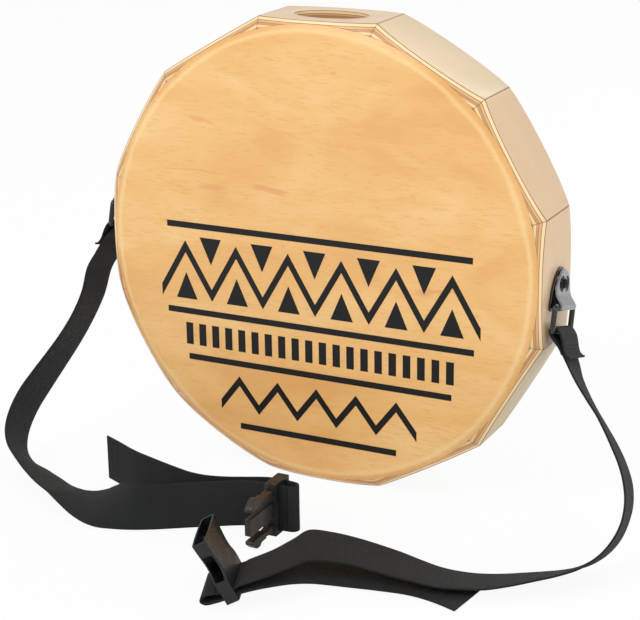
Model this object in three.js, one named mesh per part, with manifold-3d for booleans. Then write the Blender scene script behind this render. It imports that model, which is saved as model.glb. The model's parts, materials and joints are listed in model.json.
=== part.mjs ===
// Portable round cajon, carried on a shoulder strap.
// Twelve mitred plywood staves close on a thin front panel and a thin back panel, and the whole
// drum is turned to a soft round-over at both faces. Snare wires sit behind the front panel, a
// folding ring bracket is screwed to each side, and webbing with a side-release buckle lies in front.
// Millimetres, +Z up, origin at the middle of the bottom facet, front towards -Y.
import * as THREE from "three";
import Module from "manifold-3d";
import { mergeVertices } from "three/addons/utils/BufferGeometryUtils.js";

const wasm = await Module();
wasm.setup();

// Fits
const GAP = 0.3;
const CUT_OVERRUN = 5;

// Drum
const APOTHEM = 200;
const FACETS = 12;
const BODY_DEPTH = 76;
const STAVE_THICKNESS = 9;
const PANEL_THICKNESS = 3;
const ROLL_INSET = 15;
const ROLL_RADIUS = 26;
const LATHE_STEPS = 96;
const ROLL_STEPS = 8;
const PORT_WIDTH = 66;
const PORT_DEPTH = 38;
const PORT_STEPS = 20;

// Snare unit
const RAIL_THICKNESS = 18;
const RAIL_HEIGHT = 20;
const RAIL_RISE = 30;
const BLOCK_WIDTH = 18;
const BLOCK_HEIGHT = 34;
const FAN_SPACING = 116;
const FAN_WIDTH = 64;
const FAN_CLIP_HEIGHT = 14;
const FAN_FOOT_HEIGHT = 7;
const FAN_THICKNESS = 1.2;
const FAN_LENGTH = 128;
const FAN_WIRES = 10;
const FAN_WIRE_DIAMETER = 1;
const FAN_WIRE_SIDES = 5;
const FAN_SCREW_SPACING = 44;
const FAN_SCREW_HEAD = 6;
const FAN_SCREW_HEAD_HEIGHT = 1.6;
const FAN_SCREW_SHANK = 2.6;
const FAN_SCREW_LENGTH = 12;

// Strap bracket
const BRACKET_OFFSET = 21;
const BRACKET_TILT = THREE.MathUtils.degToRad(16);
const PLATE_WIDTH = 37;
const PLATE_RISE = 29;
const PLATE_DROP = 7.5;
const PLATE_CORNER = 4;
const PLATE_THICKNESS = 2;
const SHEET_THICKNESS = 1.8;
const BRIDGE_WIDTH = 35;
const BRIDGE_HEIGHT = 5.2;
const BRIDGE_RIM = 1.5;
const LIP_FALL = 1.2;
const LUG_THICKNESS = 2.2;
const WELL_DIAMETER = 13;
const WELL_SPACING = 11;
const WELL_RISE = 15.5;
const SCREW_HEAD = 8.6;
const SCREW_HEAD_HEIGHT = 2.6;
const SCREW_SHANK = 3.5;
const SCREW_LENGTH = 10;
const SCREW_RECESS_WIDTH = 1.1;
const SCREW_RECESS_SPAN = 4.6;
const SCREW_RECESS_DEPTH = 1.4;
const ROUND_STEPS = 20;

// Ring
const WIRE_DIAMETER = 4.6;
const RING_WIDTH = 45.2;
const RING_DROP = 20.5;
const RING_CORNER = 3.2;
const RING_PIVOT_DROP = 2.5;
const RING_SIDES = 10;
const RING_CORNER_STEPS = 4;

// Webbing
const WEBBING_WIDTH = 40;
const WEBBING_THICKNESS = 1.8;
const LOOP_LEAN = THREE.MathUtils.degToRad(28);
const LOOP_LENGTH = 19.5;
const LOOP_JOIN = 12;
const LOOP_FLAP = 18;
const LOOP_LIP = 4;
const LOOP_CLEARANCE = 0.6;
const ROUTE_STEPS = 3;

// Buckle
const PLUG_THICKNESS = 10;
const PLUG_WIDTH = 45;
const BAR_LENGTH = 5;
const BACK_BAR_LENGTH = 3;
const SLOT_LENGTH = 5.5;
const SLOT_WIDTH = 41;
const PLUG_PLACE = [18.5, -135, 3];
const PRONG_LENGTH = 36;
const PRONG_THICKNESS = 7;
const PRONG_ROOT = 6;
const PRONG_BARB = 11;
const PRONG_INSET = 1.5;
const GUIDE_LENGTH = 38;
const GUIDE_WIDTH = 14;
const GUIDE_THICKNESS = 5;
const SOCKET_LENGTH = 54;
const SOCKET_WIDTH = 46;
const SOCKET_WAIST = 39;
const SOCKET_THICKNESS = 12;
const SOCKET_WALL = 1.6;
const SOCKET_BAR = 2.2;
const SOCKET_SLOT = 3.2;
const SOCKET_SLOT_WIDTH = 41;
const SOCKET_WINDOW_RISE = 19.5;
const SOCKET_WINDOW_LENGTH = 22;
const SOCKET_PLACE = [43.3, -259.4, 7.2];
const SOCKET_TURN = [12, -24.2, 23.1].map(THREE.MathUtils.degToRad);

// Sizes that follow from the ones above
const halfStep = Math.PI / FACETS;
const halfDepth = BODY_DEPTH / 2;
const rollStart = APOTHEM - ROLL_INSET;
const innerApothem = APOTHEM - STAVE_THICKNESS;
const panelRollAngle = Math.acos(1 - PANEL_THICKNESS / ROLL_RADIUS);
const wireRadius = WIRE_DIAMETER / 2;
const plateTop = GAP + PLATE_THICKNESS;
const ringHeight = plateTop + LOOP_CLEARANCE + WEBBING_THICKNESS + GAP + wireRadius;
const hoodHeight = ringHeight + wireRadius + GAP + SHEET_THICKNESS;
const screwHole = SCREW_SHANK / 2 + GAP;

// Finishes
const birch = new THREE.MeshStandardMaterial({ color: 0xf0be78, roughness: 0.45, metalness: 0 });
const plywood = new THREE.MeshStandardMaterial({ color: 0xe0c090, roughness: 0.5, metalness: 0 });
const spruce = new THREE.MeshStandardMaterial({ color: 0xd9b98a, roughness: 0.7, metalness: 0 });
const snareSteel = new THREE.MeshStandardMaterial({ color: 0xb9bcc0, roughness: 0.3, metalness: 1 });
const blackMetal = new THREE.MeshStandardMaterial({ color: 0x1a1a1c, roughness: 0.3, metalness: 0.8 });
const webbingBlack = new THREE.MeshStandardMaterial({ color: 0x17181a, roughness: 0.85, metalness: 0 });
const bucklePlastic = new THREE.MeshStandardMaterial({ color: 0x141414, roughness: 0.35, metalness: 0 });

// A closed three.js geometry as a solid that can be joined and cut.
function toSolid(geometry) {
  const bare = new THREE.BufferGeometry();
  bare.setAttribute("position", geometry.attributes.position.clone());
  if (geometry.index) {
    bare.setIndex(geometry.index.clone());
  }
  const merged = mergeVertices(bare);
  const corners = merged.index.array;
  const triangles = [];
  for (let i = 0; i < corners.length; i += 3) {
    const [a, b, c] = [corners[i], corners[i + 1], corners[i + 2]];
    if (a !== b && b !== c && c !== a) {
      triangles.push(a, b, c);
    }
  }
  return new wasm.Manifold(new wasm.Mesh({
    numProp: 3,
    vertProperties: Float32Array.from(merged.attributes.position.array),
    triVerts: Uint32Array.from(triangles),
  }));
}

function toGeometry(solid) {
  const mesh = solid.getMesh();
  const geometry = new THREE.BufferGeometry();
  geometry.setAttribute("position", new THREE.BufferAttribute(mesh.vertProperties, 3));
  geometry.setIndex(new THREE.BufferAttribute(mesh.triVerts, 1));
  geometry.computeVertexNormals();
  return geometry;
}

function node(name, geometry, material, parent) {
  const mesh = new THREE.Mesh(geometry, material);
  mesh.name = name;
  parent.add(mesh);
  return mesh;
}

function box(width, depth, height, x = 0, y = 0, z = 0) {
  return new THREE.BoxGeometry(width, depth, height).translate(x, y, z);
}

// A rod along Z from bottom to top.
function rod(radius, bottom, top, steps = ROUND_STEPS) {
  const profile = [[0, bottom], [radius, bottom], [radius, top], [0, top]];
  return turned(profile, steps).rotateX(Math.PI / 2);
}

// A profile of [radius, height] turned about Y.
function turned(profile, steps) {
  return new THREE.LatheGeometry(profile.map(([r, h]) => new THREE.Vector2(r, h)), steps);
}

// A flat outline in the drum's XZ plane, extruded along Y between two depths.
function plank(shape, front, back) {
  const geometry = new THREE.ExtrudeGeometry(shape, { depth: back - front, bevelEnabled: false });
  return geometry.rotateX(Math.PI / 2).translate(0, back, 0);
}

function outline(points) {
  return new THREE.Shape(points.map(([x, y]) => new THREE.Vector2(x, y)));
}

// An outline in the YZ plane as a solid slab across X, its middle at x.
function standing(points, width, x = 0) {
  const turn = new THREE.Matrix4().makeBasis(
    new THREE.Vector3(0, 1, 0),
    new THREE.Vector3(0, 0, 1),
    new THREE.Vector3(1, 0, 0),
  );
  const slab = new THREE.ExtrudeGeometry(outline(points), { depth: width, bevelEnabled: false });
  return toSolid(slab.applyMatrix4(turn).translate(x - width / 2, 0, 0));
}

function ellipse(halfWidth, halfHeight, x = 0, y = 0) {
  return new THREE.Shape().absellipse(x, y, halfWidth, halfHeight, 0, 2 * Math.PI, false, 0);
}

// Points of the round-over from the flat face outwards, as [radius, depth below the face].
function rollPoints(lastAngle, steps) {
  const points = [];
  for (let i = 0; i <= steps; i += 1) {
    const angle = (lastAngle * i) / steps;
    points.push([
      rollStart + ROLL_RADIUS * Math.sin(angle),
      ROLL_RADIUS * (1 - Math.cos(angle)),
    ]);
  }
  return points;
}

// Drum
function drumEnvelope() {
  const roll = rollPoints(Math.PI / 2, ROLL_STEPS);
  const front = roll.map(([r, s]) => [r, s - halfDepth]);
  const back = roll.map(([r, s]) => [r, halfDepth - s]).reverse();
  return toSolid(turned([[0, -halfDepth], ...front, ...back, [0, halfDepth]], LATHE_STEPS));
}

// One stave, lying at twelve o'clock.
function staveSolid() {
  const mitre = GAP / 2 / Math.cos(halfStep);
  const outerHalf = APOTHEM * Math.tan(halfStep) - mitre;
  const innerHalf = innerApothem * Math.tan(halfStep) - mitre;
  const section = outline([
    [-innerHalf, innerApothem],
    [innerHalf, innerApothem],
    [outerHalf, APOTHEM],
    [-outerHalf, APOTHEM],
  ]);
  const reach = halfDepth - PANEL_THICKNESS - GAP;
  return toSolid(plank(section, -reach, reach)).intersect(drumEnvelope());
}

function portCutter() {
  const cut = new THREE.ExtrudeGeometry(ellipse(PORT_WIDTH / 2, PORT_DEPTH / 2), {
    depth: STAVE_THICKNESS + 2 * CUT_OVERRUN,
    bevelEnabled: false,
    curveSegments: PORT_STEPS,
  });
  return toSolid(cut.translate(0, 0, innerApothem - CUT_OVERRUN));
}

function panelGeometry() {
  const roll = rollPoints(panelRollAngle, ROLL_STEPS / 2).map(([r, s]) => [r, s - halfDepth]);
  return turned([[0, -halfDepth], ...roll, [0, PANEL_THICKNESS - halfDepth]], LATHE_STEPS);
}

function buildDrum(drum, brackets) {
  const stave = staveSolid();
  for (let i = 0; i < FACETS; i += 1) {
    const hour = i === 0 ? FACETS : i;
    const angle = 2 * halfStep * i;
    let solid = stave;
    if (i === 0) {
      solid = solid.subtract(portCutter());
    }
    for (const bracket of brackets.filter((entry) => entry.hour === hour)) {
      const toStave = new THREE.Matrix4().makeRotationY(-angle).multiply(bracket.matrix);
      for (const x of screwPlaces()) {
        const hole = rod(screwHole, -SCREW_LENGTH + plateTop - GAP, CUT_OVERRUN);
        solid = solid.subtract(toSolid(hole.translate(x, WELL_RISE, 0).applyMatrix4(toStave)));
      }
    }
    const name = i === 0 ? "stave_12_oclock_with_port" : `stave_${hour}_oclock`;
    node(name, toGeometry(solid), plywood, drum).rotation.y = angle;
  }
  node("front_panel", panelGeometry(), birch, drum);
  node("back_panel", panelGeometry(), birch, drum).rotation.z = Math.PI;
}

// Snare unit
function snareFan() {
  const clip = box(FAN_WIDTH, FAN_THICKNESS, FAN_CLIP_HEIGHT);
  let fan = toSolid(clip);
  const footRise = FAN_CLIP_HEIGHT / 2 - FAN_LENGTH + FAN_FOOT_HEIGHT / 2;
  fan = fan.add(toSolid(box(FAN_WIDTH, FAN_THICKNESS, FAN_FOOT_HEIGHT, 0, 0, footRise)));
  for (let i = 0; i < FAN_WIRES; i += 1) {
    const x = FAN_WIDTH * ((i + 0.5) / FAN_WIRES - 0.5);
    const wire = rod(FAN_WIRE_DIAMETER / 2, footRise, 0, FAN_WIRE_SIDES);
    fan = fan.add(toSolid(wire.translate(x, 0, 0)));
  }
  for (const side of [-1, 1]) {
    const hole = rod(FAN_SCREW_SHANK / 2 + GAP, -CUT_OVERRUN, CUT_OVERRUN).rotateX(Math.PI / 2);
    fan = fan.subtract(toSolid(hole.translate((side * FAN_SCREW_SPACING) / 2, 0, 0)));
  }
  return fan;
}

// The head faces -Y and stands just behind the front panel, in front of the clip.
function snareScrew() {
  const headRadius = FAN_SCREW_HEAD / 2;
  const shankRadius = FAN_SCREW_SHANK / 2;
  return turned([
    [0, 0],
    [headRadius, 0],
    [headRadius, FAN_SCREW_HEAD_HEIGHT],
    [shankRadius, FAN_SCREW_HEAD_HEIGHT],
    [shankRadius, FAN_SCREW_LENGTH],
    [0, FAN_SCREW_LENGTH],
  ], ROUND_STEPS);
}

function buildSnare(drum) {
  const panelBack = PANEL_THICKNESS - halfDepth;
  const screwFace = panelBack + GAP;
  const clipFace = screwFace + FAN_SCREW_HEAD_HEIGHT + GAP;
  const railFace = clipFace + FAN_THICKNESS + GAP;
  const railY = railFace + RAIL_THICKNESS / 2;
  const blockX = innerApothem - GAP - BLOCK_WIDTH / 2;
  const railLength = 2 * (blockX - BLOCK_WIDTH / 2 - GAP);
  let rail = toSolid(box(railLength, RAIL_THICKNESS, RAIL_HEIGHT));
  for (const side of [-1, 1]) {
    const fanX = (side * FAN_SPACING) / 2;
    for (const turn of [-1, 1]) {
      const x = fanX + (turn * FAN_SCREW_SPACING) / 2;
      const reach = FAN_SCREW_LENGTH + GAP;
      const bore = turned([
        [0, 0], [FAN_SCREW_SHANK / 2 + GAP, 0], [FAN_SCREW_SHANK / 2 + GAP, reach], [0, reach],
      ], ROUND_STEPS);
      rail = rail.subtract(toSolid(bore.translate(x, screwFace - railY, 0)));
      const hand = `${side < 0 ? "left" : "right"}_${turn < 0 ? "a" : "b"}`;
      const screw = node(`snare_screw_${hand}`, snareScrew(), snareSteel, drum);
      screw.position.set(x, screwFace, RAIL_RISE);
    }
    const fanName = side < 0 ? "snare_wires_left" : "snare_wires_right";
    const fan = node(fanName, toGeometry(snareFan()), snareSteel, drum);
    fan.position.set(fanX, clipFace + FAN_THICKNESS / 2, RAIL_RISE);
    const block = box(BLOCK_WIDTH, RAIL_THICKNESS, BLOCK_HEIGHT);
    const blockName = side < 0 ? "rail_block_left" : "rail_block_right";
    node(blockName, block, spruce, drum).position.set(side * blockX, railY, RAIL_RISE);
  }
  node("snare_rail", toGeometry(rail), spruce, drum).position.set(0, railY, RAIL_RISE);
}

// Strap brackets, drawn flat: x across, y up the facet, z away from it.
function bracketFrame(side) {
  const across = new THREE.Vector3(0, side * Math.cos(BRACKET_TILT), -side * Math.sin(BRACKET_TILT));
  const up = new THREE.Vector3(0, Math.sin(BRACKET_TILT), Math.cos(BRACKET_TILT));
  const out = new THREE.Vector3(side, 0, 0);
  const frame = new THREE.Matrix4().makeBasis(across, up, out);
  return frame.setPosition(side * APOTHEM, 0, -side * BRACKET_OFFSET);
}

function screwPlaces() {
  return [-WELL_SPACING / 2, WELL_SPACING / 2];
}

function plateGeometry() {
  const half = PLATE_WIDTH / 2;
  const shape = new THREE.Shape();
  shape.moveTo(half, 0);
  shape.absellipse(0, 0, half, PLATE_RISE, 0, Math.PI, false, 0);
  shape.lineTo(-half, PLATE_CORNER - PLATE_DROP);
  shape.absarc(PLATE_CORNER - half, PLATE_CORNER - PLATE_DROP, PLATE_CORNER, Math.PI, 1.5 * Math.PI);
  shape.lineTo(half - PLATE_CORNER, -PLATE_DROP);
  shape.absarc(half - PLATE_CORNER, PLATE_CORNER - PLATE_DROP, PLATE_CORNER, 1.5 * Math.PI, 2 * Math.PI);
  shape.closePath();
  for (const x of screwPlaces()) {
    shape.holes.push(new THREE.Path().absarc(x, WELL_RISE, screwHole, 0, 2 * Math.PI, true));
  }
  return new THREE.ExtrudeGeometry(shape, {
    depth: PLATE_THICKNESS,
    bevelEnabled: false,
    curveSegments: ROUND_STEPS,
  }).translate(0, 0, GAP);
}

// Along the plate, as shares of its rise, from the top rim down to the lip of the hood.
const BRIDGE_SHARES = { rim: 0.95, crown: 0.8, knee: 0.24, hood: -0.03, brow: -0.12, lip: -0.18 };

function bridgeGeometry() {
  const seat = plateTop + GAP;
  const hood = [
    [BRIDGE_SHARES.knee * PLATE_RISE, BRIDGE_HEIGHT],
    [BRIDGE_SHARES.hood * PLATE_RISE, hoodHeight],
    [BRIDGE_SHARES.brow * PLATE_RISE, hoodHeight],
    [BRIDGE_SHARES.lip * PLATE_RISE, hoodHeight - LIP_FALL],
  ];
  const outer = [
    [BRIDGE_SHARES.rim * PLATE_RISE, seat + BRIDGE_RIM],
    [BRIDGE_SHARES.crown * PLATE_RISE, BRIDGE_HEIGHT],
    ...hood,
  ];
  const inner = outer.map(([y, z]) => [y, Math.max(z - SHEET_THICKNESS, seat)]).reverse();
  const sheet = standing([...outer, ...inner], BRIDGE_WIDTH);
  const height = hoodHeight + CUT_OVERRUN;
  const crownShape = ellipse(BRIDGE_WIDTH / 2, BRIDGE_SHARES.rim * PLATE_RISE);
  const crown = new THREE.ExtrudeGeometry(crownShape, {
    depth: height,
    bevelEnabled: false,
    curveSegments: ROUND_STEPS,
  });
  const lower = box(BRIDGE_WIDTH, PLATE_RISE, height, 0, -PLATE_RISE / 2).translate(0, 0, height / 2);
  let bridge = sheet.intersect(toSolid(crown).add(toSolid(lower)));
  const [knee, lip] = [hood[0][0], hood[hood.length - 1][0]];
  for (const side of [-1, 1]) {
    const x = (side * (BRIDGE_WIDTH - LUG_THICKNESS)) / 2;
    bridge = bridge.add(standing([...hood, [lip, seat], [knee, seat]], LUG_THICKNESS, x));
  }
  const pinHole = rod(wireRadius + GAP, -BRIDGE_WIDTH, BRIDGE_WIDTH).rotateY(Math.PI / 2);
  bridge = bridge.subtract(toSolid(pinHole.translate(0, -RING_PIVOT_DROP, ringHeight)));
  for (const x of screwPlaces()) {
    const well = rod(WELL_DIAMETER / 2, seat - CUT_OVERRUN, hoodHeight + CUT_OVERRUN);
    bridge = bridge.subtract(toSolid(well.translate(x, WELL_RISE, 0)));
  }
  return toGeometry(bridge);
}

// A pan-head screw along Z whose head rests above the plate.
function screwGeometry() {
  const headRadius = SCREW_HEAD / 2;
  const shankRadius = SCREW_SHANK / 2;
  const crownRadius = headRadius - SCREW_HEAD_HEIGHT / 2;
  const body = turned([
    [0, GAP - SCREW_LENGTH],
    [shankRadius, GAP - SCREW_LENGTH],
    [shankRadius, 0],
    [headRadius, 0],
    [headRadius, SCREW_HEAD_HEIGHT / 2],
    [crownRadius, SCREW_HEAD_HEIGHT],
    [0, SCREW_HEAD_HEIGHT],
  ], ROUND_STEPS).rotateX(Math.PI / 2);
  let screw = toSolid(body);
  const recessHeight = SCREW_RECESS_DEPTH + CUT_OVERRUN;
  const recessRise = SCREW_HEAD_HEIGHT - SCREW_RECESS_DEPTH + recessHeight / 2;
  const span = [SCREW_RECESS_SPAN, SCREW_RECESS_WIDTH];
  for (const [width, depth] of [span, [...span].reverse()]) {
    screw = screw.subtract(toSolid(box(width, depth, recessHeight, 0, 0, recessRise)));
  }
  return toGeometry(screw);
}

// A closed wire ring through a rounded rectangle, its top bar on the X axis.
function ringGeometry() {
  const halfWidth = RING_WIDTH / 2;
  const corners = [
    [halfWidth - RING_CORNER, -RING_CORNER, 0],
    [-halfWidth + RING_CORNER, -RING_CORNER, 1],
    [-halfWidth + RING_CORNER, RING_CORNER - RING_DROP, 2],
    [halfWidth - RING_CORNER, RING_CORNER - RING_DROP, 3],
  ];
  const stations = [];
  for (const [x, y, quarter] of corners) {
    for (let i = 0; i <= RING_CORNER_STEPS; i += 1) {
      const angle = (Math.PI / 2) * (quarter + i / RING_CORNER_STEPS);
      const outward = [Math.cos(angle), Math.sin(angle)];
      stations.push({ centre: [x + RING_CORNER * outward[0], y + RING_CORNER * outward[1]], outward });
    }
  }
  const positions = [];
  const indices = [];
  stations.forEach(({ centre, outward }, i) => {
    const next = (i + 1) % stations.length;
    for (let j = 0; j < RING_SIDES; j += 1) {
      const angle = (2 * Math.PI * j) / RING_SIDES;
      const reach = wireRadius * Math.cos(angle);
      positions.push(centre[0] + reach * outward[0], centre[1] + reach * outward[1]);
      positions.push(wireRadius * Math.sin(angle));
      const k = (j + 1) % RING_SIDES;
      const [a, b] = [i * RING_SIDES + j, i * RING_SIDES + k];
      const [c, d] = [next * RING_SIDES + j, next * RING_SIDES + k];
      indices.push(a, c, b, b, c, d);
    }
  });
  return indexed(positions, indices);
}

function indexed(positions, indices) {
  const geometry = new THREE.BufferGeometry();
  geometry.setAttribute("position", new THREE.Float32BufferAttribute(positions, 3));
  geometry.setIndex(indices);
  geometry.computeVertexNormals();
  return geometry;
}

// Webbing folded round the ring's lower bar: x across its thickness, y down the leg.
function loopGeometry() {
  const half = WEBBING_THICKNESS / 2;
  const inside = wireRadius + GAP;
  const outside = inside + WEBBING_THICKNESS;
  const shape = new THREE.Shape();
  shape.moveTo(half, LOOP_LENGTH);
  shape.lineTo(half, LOOP_FLAP + half);
  shape.lineTo(half + LOOP_LIP, LOOP_FLAP + LOOP_LIP);
  shape.lineTo(half + LOOP_LIP + half, LOOP_FLAP + LOOP_LIP - WEBBING_THICKNESS);
  shape.lineTo(half + WEBBING_THICKNESS, LOOP_FLAP - LOOP_LIP);
  shape.lineTo(half + WEBBING_THICKNESS, LOOP_JOIN);
  shape.absarc(0, 0, outside, 0, -Math.PI, true);
  shape.lineTo(-half, LOOP_JOIN);
  shape.lineTo(-half, LOOP_LENGTH);
  shape.closePath();
  const eye = new THREE.Path();
  eye.moveTo(half, LOOP_JOIN - outside / 2);
  eye.lineTo(-inside, 0);
  eye.absarc(0, 0, inside, Math.PI, 2 * Math.PI, false);
  eye.closePath();
  shape.holes.push(eye);
  return new THREE.ExtrudeGeometry(shape, {
    depth: WEBBING_WIDTH,
    bevelEnabled: false,
    curveSegments: ROUND_STEPS / 2,
  }).translate(0, 0, -WEBBING_WIDTH / 2);
}

function buildBracket(drum, side, matrix) {
  const hand = side < 0 ? "left" : "right";
  const bracket = new THREE.Group();
  matrix.decompose(bracket.position, bracket.quaternion, bracket.scale);
  drum.add(bracket);
  node(`bracket_plate_${hand}`, plateGeometry(), blackMetal, bracket);
  node(`bracket_bridge_${hand}`, bridgeGeometry(), blackMetal, bracket);
  screwPlaces().forEach((x, i) => {
    const screw = node(`bracket_screw_${hand}_${"ab"[i]}`, screwGeometry(), blackMetal, bracket);
    screw.position.set(x, WELL_RISE, plateTop + GAP);
  });
  const swing = new THREE.Group();
  swing.position.set(0, -RING_PIVOT_DROP, ringHeight);
  bracket.add(swing);
  node(`strap_ring_${hand}`, ringGeometry(), blackMetal, swing);
  const loop = node(`webbing_loop_${hand}`, loopGeometry(), webbingBlack, swing);
  loop.position.set(0, -RING_DROP, 0);
  const away = new THREE.Vector3(0, Math.sin(LOOP_LEAN), Math.cos(LOOP_LEAN));
  const down = new THREE.Vector3(0, -Math.cos(LOOP_LEAN), Math.sin(LOOP_LEAN));
  const turn = new THREE.Matrix4().makeBasis(away, down, new THREE.Vector3(1, 0, 0));
  loop.quaternion.setFromRotationMatrix(turn);
}

// Free webbing. Each row is a point on the middle of the band and the direction across it.
const STRAP_LEFT = [
  [-216.6, -11.2, 182.1, 0, 0.961, -0.276],
  [-222.3, -14.1, 171.7, 0, 0.961, -0.276],
  [-228.6, -17.5, 159.6, 0, 0.961, -0.276],
  [-234, -22.3, 136, -0.03, 0.94, -0.33],
  [-241, -31, 114.7, -0.07, 0.9, -0.42],
  [-249, -41, 96, -0.08, 0.86, -0.5],
  [-257, -53, 79, -0.08, 0.8, -0.59],
  [-264, -67, 63, -0.06, 0.73, -0.68],
  [-269, -83, 47.5, -0.03, 0.67, -0.74],
  [-268.5, -99.5, 33.5, 0.01, 0.63, -0.78],
  [-261.5, -115, 23, 0.09, 0.62, -0.78],
  [-248, -128, 16.5, 0.2, 0.67, -0.71],
  [-230, -138, 13.5, 0.31, 0.75, -0.58],
  [-211, -149, 11.5, 0.37, 0.79, -0.47],
  [-192, -159.5, 10, 0.39, 0.83, -0.4],
  [-173, -168, 10, 0.36, 0.89, -0.28],
  [-155, -176, 10.5, 0.33, 0.93, -0.02],
  [-137, -184.5, 13, 0.32, 0.89, 0.32],
  [-120, -191.5, 16.8, 0.28, 0.68, 0.68],
  [-105, -195, 20.2, 0.2, 0.28, 0.94],
  [-90, -194.5, 21.4, 0.1, 0.02, 1],
  [-74.5, -187, 21.5, 0.04, -0.03, 1],
  [-59, -177, 21.7, 0, -0.02, 1],
  [-43, -168, 22.3, 0, 0, 1],
  [-26, -160, 23.2, 0, 0, 1],
  [-8.5, -153.6, 24.5, 0, 0, 1],
  [10, -151.2, 25.5, 0, 0, 1],
  [30, -151.2, 25.5, 0, 0, 1],
];
const STRAP_LEFT_TAIL = [
  [30.3, -151.2, 25.5, 0, 0, 1],
  [35, -149.8, 25.5, 0, 0, 1],
  [37.2, -146, 25.5, 0, 0, 1],
  [35, -142.2, 25.5, 0, 0, 1],
  [30, -140.8, 25.5, 0, 0, 1],
  [10, -140.8, 25.5, 0, 0, 1],
  [-10, -143, 23.2, 0, 0, 1],
  [-27, -146.5, 21.6, 0, 0, 1],
  [-44, -149.8, 21, 0, 0, 1],
  [-60, -150.2, 21.1, 0, 0, 1],
  [-75, -147.2, 21.4, 0, 0, 1],
  [-102, -139, 21.3, 0, 0, 1],
  [-127, -130.5, 21.3, 0, 0, 1],
  [-150, -119.5, 21.3, 0, 0, 1],
  [-166, -112.1, 21.3, 0, 0, 1],
];
const STRAP_RIGHT = [
  [216.6, -11.2, 140.1, -0.031, 0.956, -0.291],
  [221.4, -13.6, 131.4, -0.077, 0.946, -0.314],
  [226.5, -16.3, 122.1, -0.131, 0.932, -0.339],
  [233.6, -19.7, 112.8, -0.168, 0.919, -0.357],
  [241.2, -23.2, 103.8, -0.12, 0.88, -0.46],
  [250.3, -27, 94, -0.04, 0.83, -0.56],
  [261.3, -35, 83.6, 0.04, 0.79, -0.61],
  [271.7, -45, 73.6, 0.08, 0.76, -0.65],
  [280.7, -55.6, 63.6, 0.07, 0.72, -0.69],
  [287, -67.4, 53, 0, 0.68, -0.73],
  [290, -80, 42, -0.12, 0.65, -0.75],
  [289.4, -93, 31.3, -0.23, 0.64, -0.73],
  [284.7, -106.2, 22.4, -0.34, 0.65, -0.68],
  [276.4, -118.7, 15.6, -0.44, 0.68, -0.59],
  [265, -130, 11.6, -0.51, 0.72, -0.47],
  [251.7, -140.8, 9.8, -0.52, 0.76, -0.38],
  [237.3, -151, 8.6, -0.5, 0.8, -0.31],
  [222.4, -160.5, 7.2, -0.46, 0.85, -0.24],
  [207, -169, 6.4, -0.4, 0.9, -0.17],
  [191, -175.5, 7, -0.34, 0.93, -0.13],
  [174.6, -180.2, 8.4, -0.27, 0.96, -0.08],
  [158, -183, 11.6, -0.23, 0.97, -0.04],
  [141.7, -185.5, 15, -0.21, 0.98, 0.02],
  [125, -188, 18.3, -0.23, 0.97, 0.05],
  [108, -191.2, 21.5, -0.27, 0.96, 0.08],
  [91.5, -197.5, 24.6, -0.34, 0.93, 0.14],
  [78, -207.5, 27.3, -0.419, 0.888, 0.19],
  [73.4, -227, 28.3, -0.4, 0.909, 0.12],
  [63.8, -244, 25.5, -0.365, 0.929, 0.06],
  [49.6, -257.5, 20.9, -0.358, 0.933, 0.034],
  [44.6, -259.3, 18.1, -0.358, 0.933, 0.034],
  [39.5, -261.1, 15.4, -0.358, 0.933, 0.034],
  [35.2, -262.7, 13.5, -0.358, 0.933, 0.034],
  [30.4, -264.6, 12.6, -0.358, 0.933, 0.034],
];
const STRAP_RIGHT_TAIL = [
  [30, -264.7, 12.5, -0.358, 0.933, 0.034],
  [24.7, -266.7, 11.3, -0.358, 0.933, 0.034],
  [21, -268, 9, -0.358, 0.933, 0.034],
  [19.9, -268.3, 5.4, -0.358, 0.933, 0.034],
  [23.1, -267, 3.5, -0.358, 0.933, 0.034],
  [29.6, -264.6, 5.1, -0.358, 0.933, 0.034],
  [35.8, -262.3, 7.5, -0.358, 0.933, 0.034],
  [41.7, -260.1, 10.6, -0.358, 0.933, 0.034],
  [47.6, -258, 13.7, -0.358, 0.933, 0.034],
  [57, -251.5, 16.4, -0.38, 0.92, 0.05],
  [66, -240, 16, -0.42, 0.9, 0.05],
  [74, -226, 13, -0.45, 0.89, 0.03],
  [83, -212, 8.5, -0.42, 0.9, 0.01],
  [95, -201, 4.5, -0.32, 0.94, 0],
  [112, -193, 2.2, -0.17, 0.98, 0],
  [135, -187.5, 1.7, -0.1, 1, 0],
  [160, -184.5, 1.7, -0.08, 1, 0],
  [184, -187.5, 1.7, 0.05, 1, 0],
  [204, -193.5, 1.7, 0.12, 0.99, 0],
];

// The section's corners as shares of half the width and half the thickness.
const BAND_SECTION_SHARES = [
  [1, 0.5], [0.97, 1], [-0.97, 1], [-1, 0.5], [-1, -0.5], [-0.97, -1], [0.97, -1], [1, -0.5],
];

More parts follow.
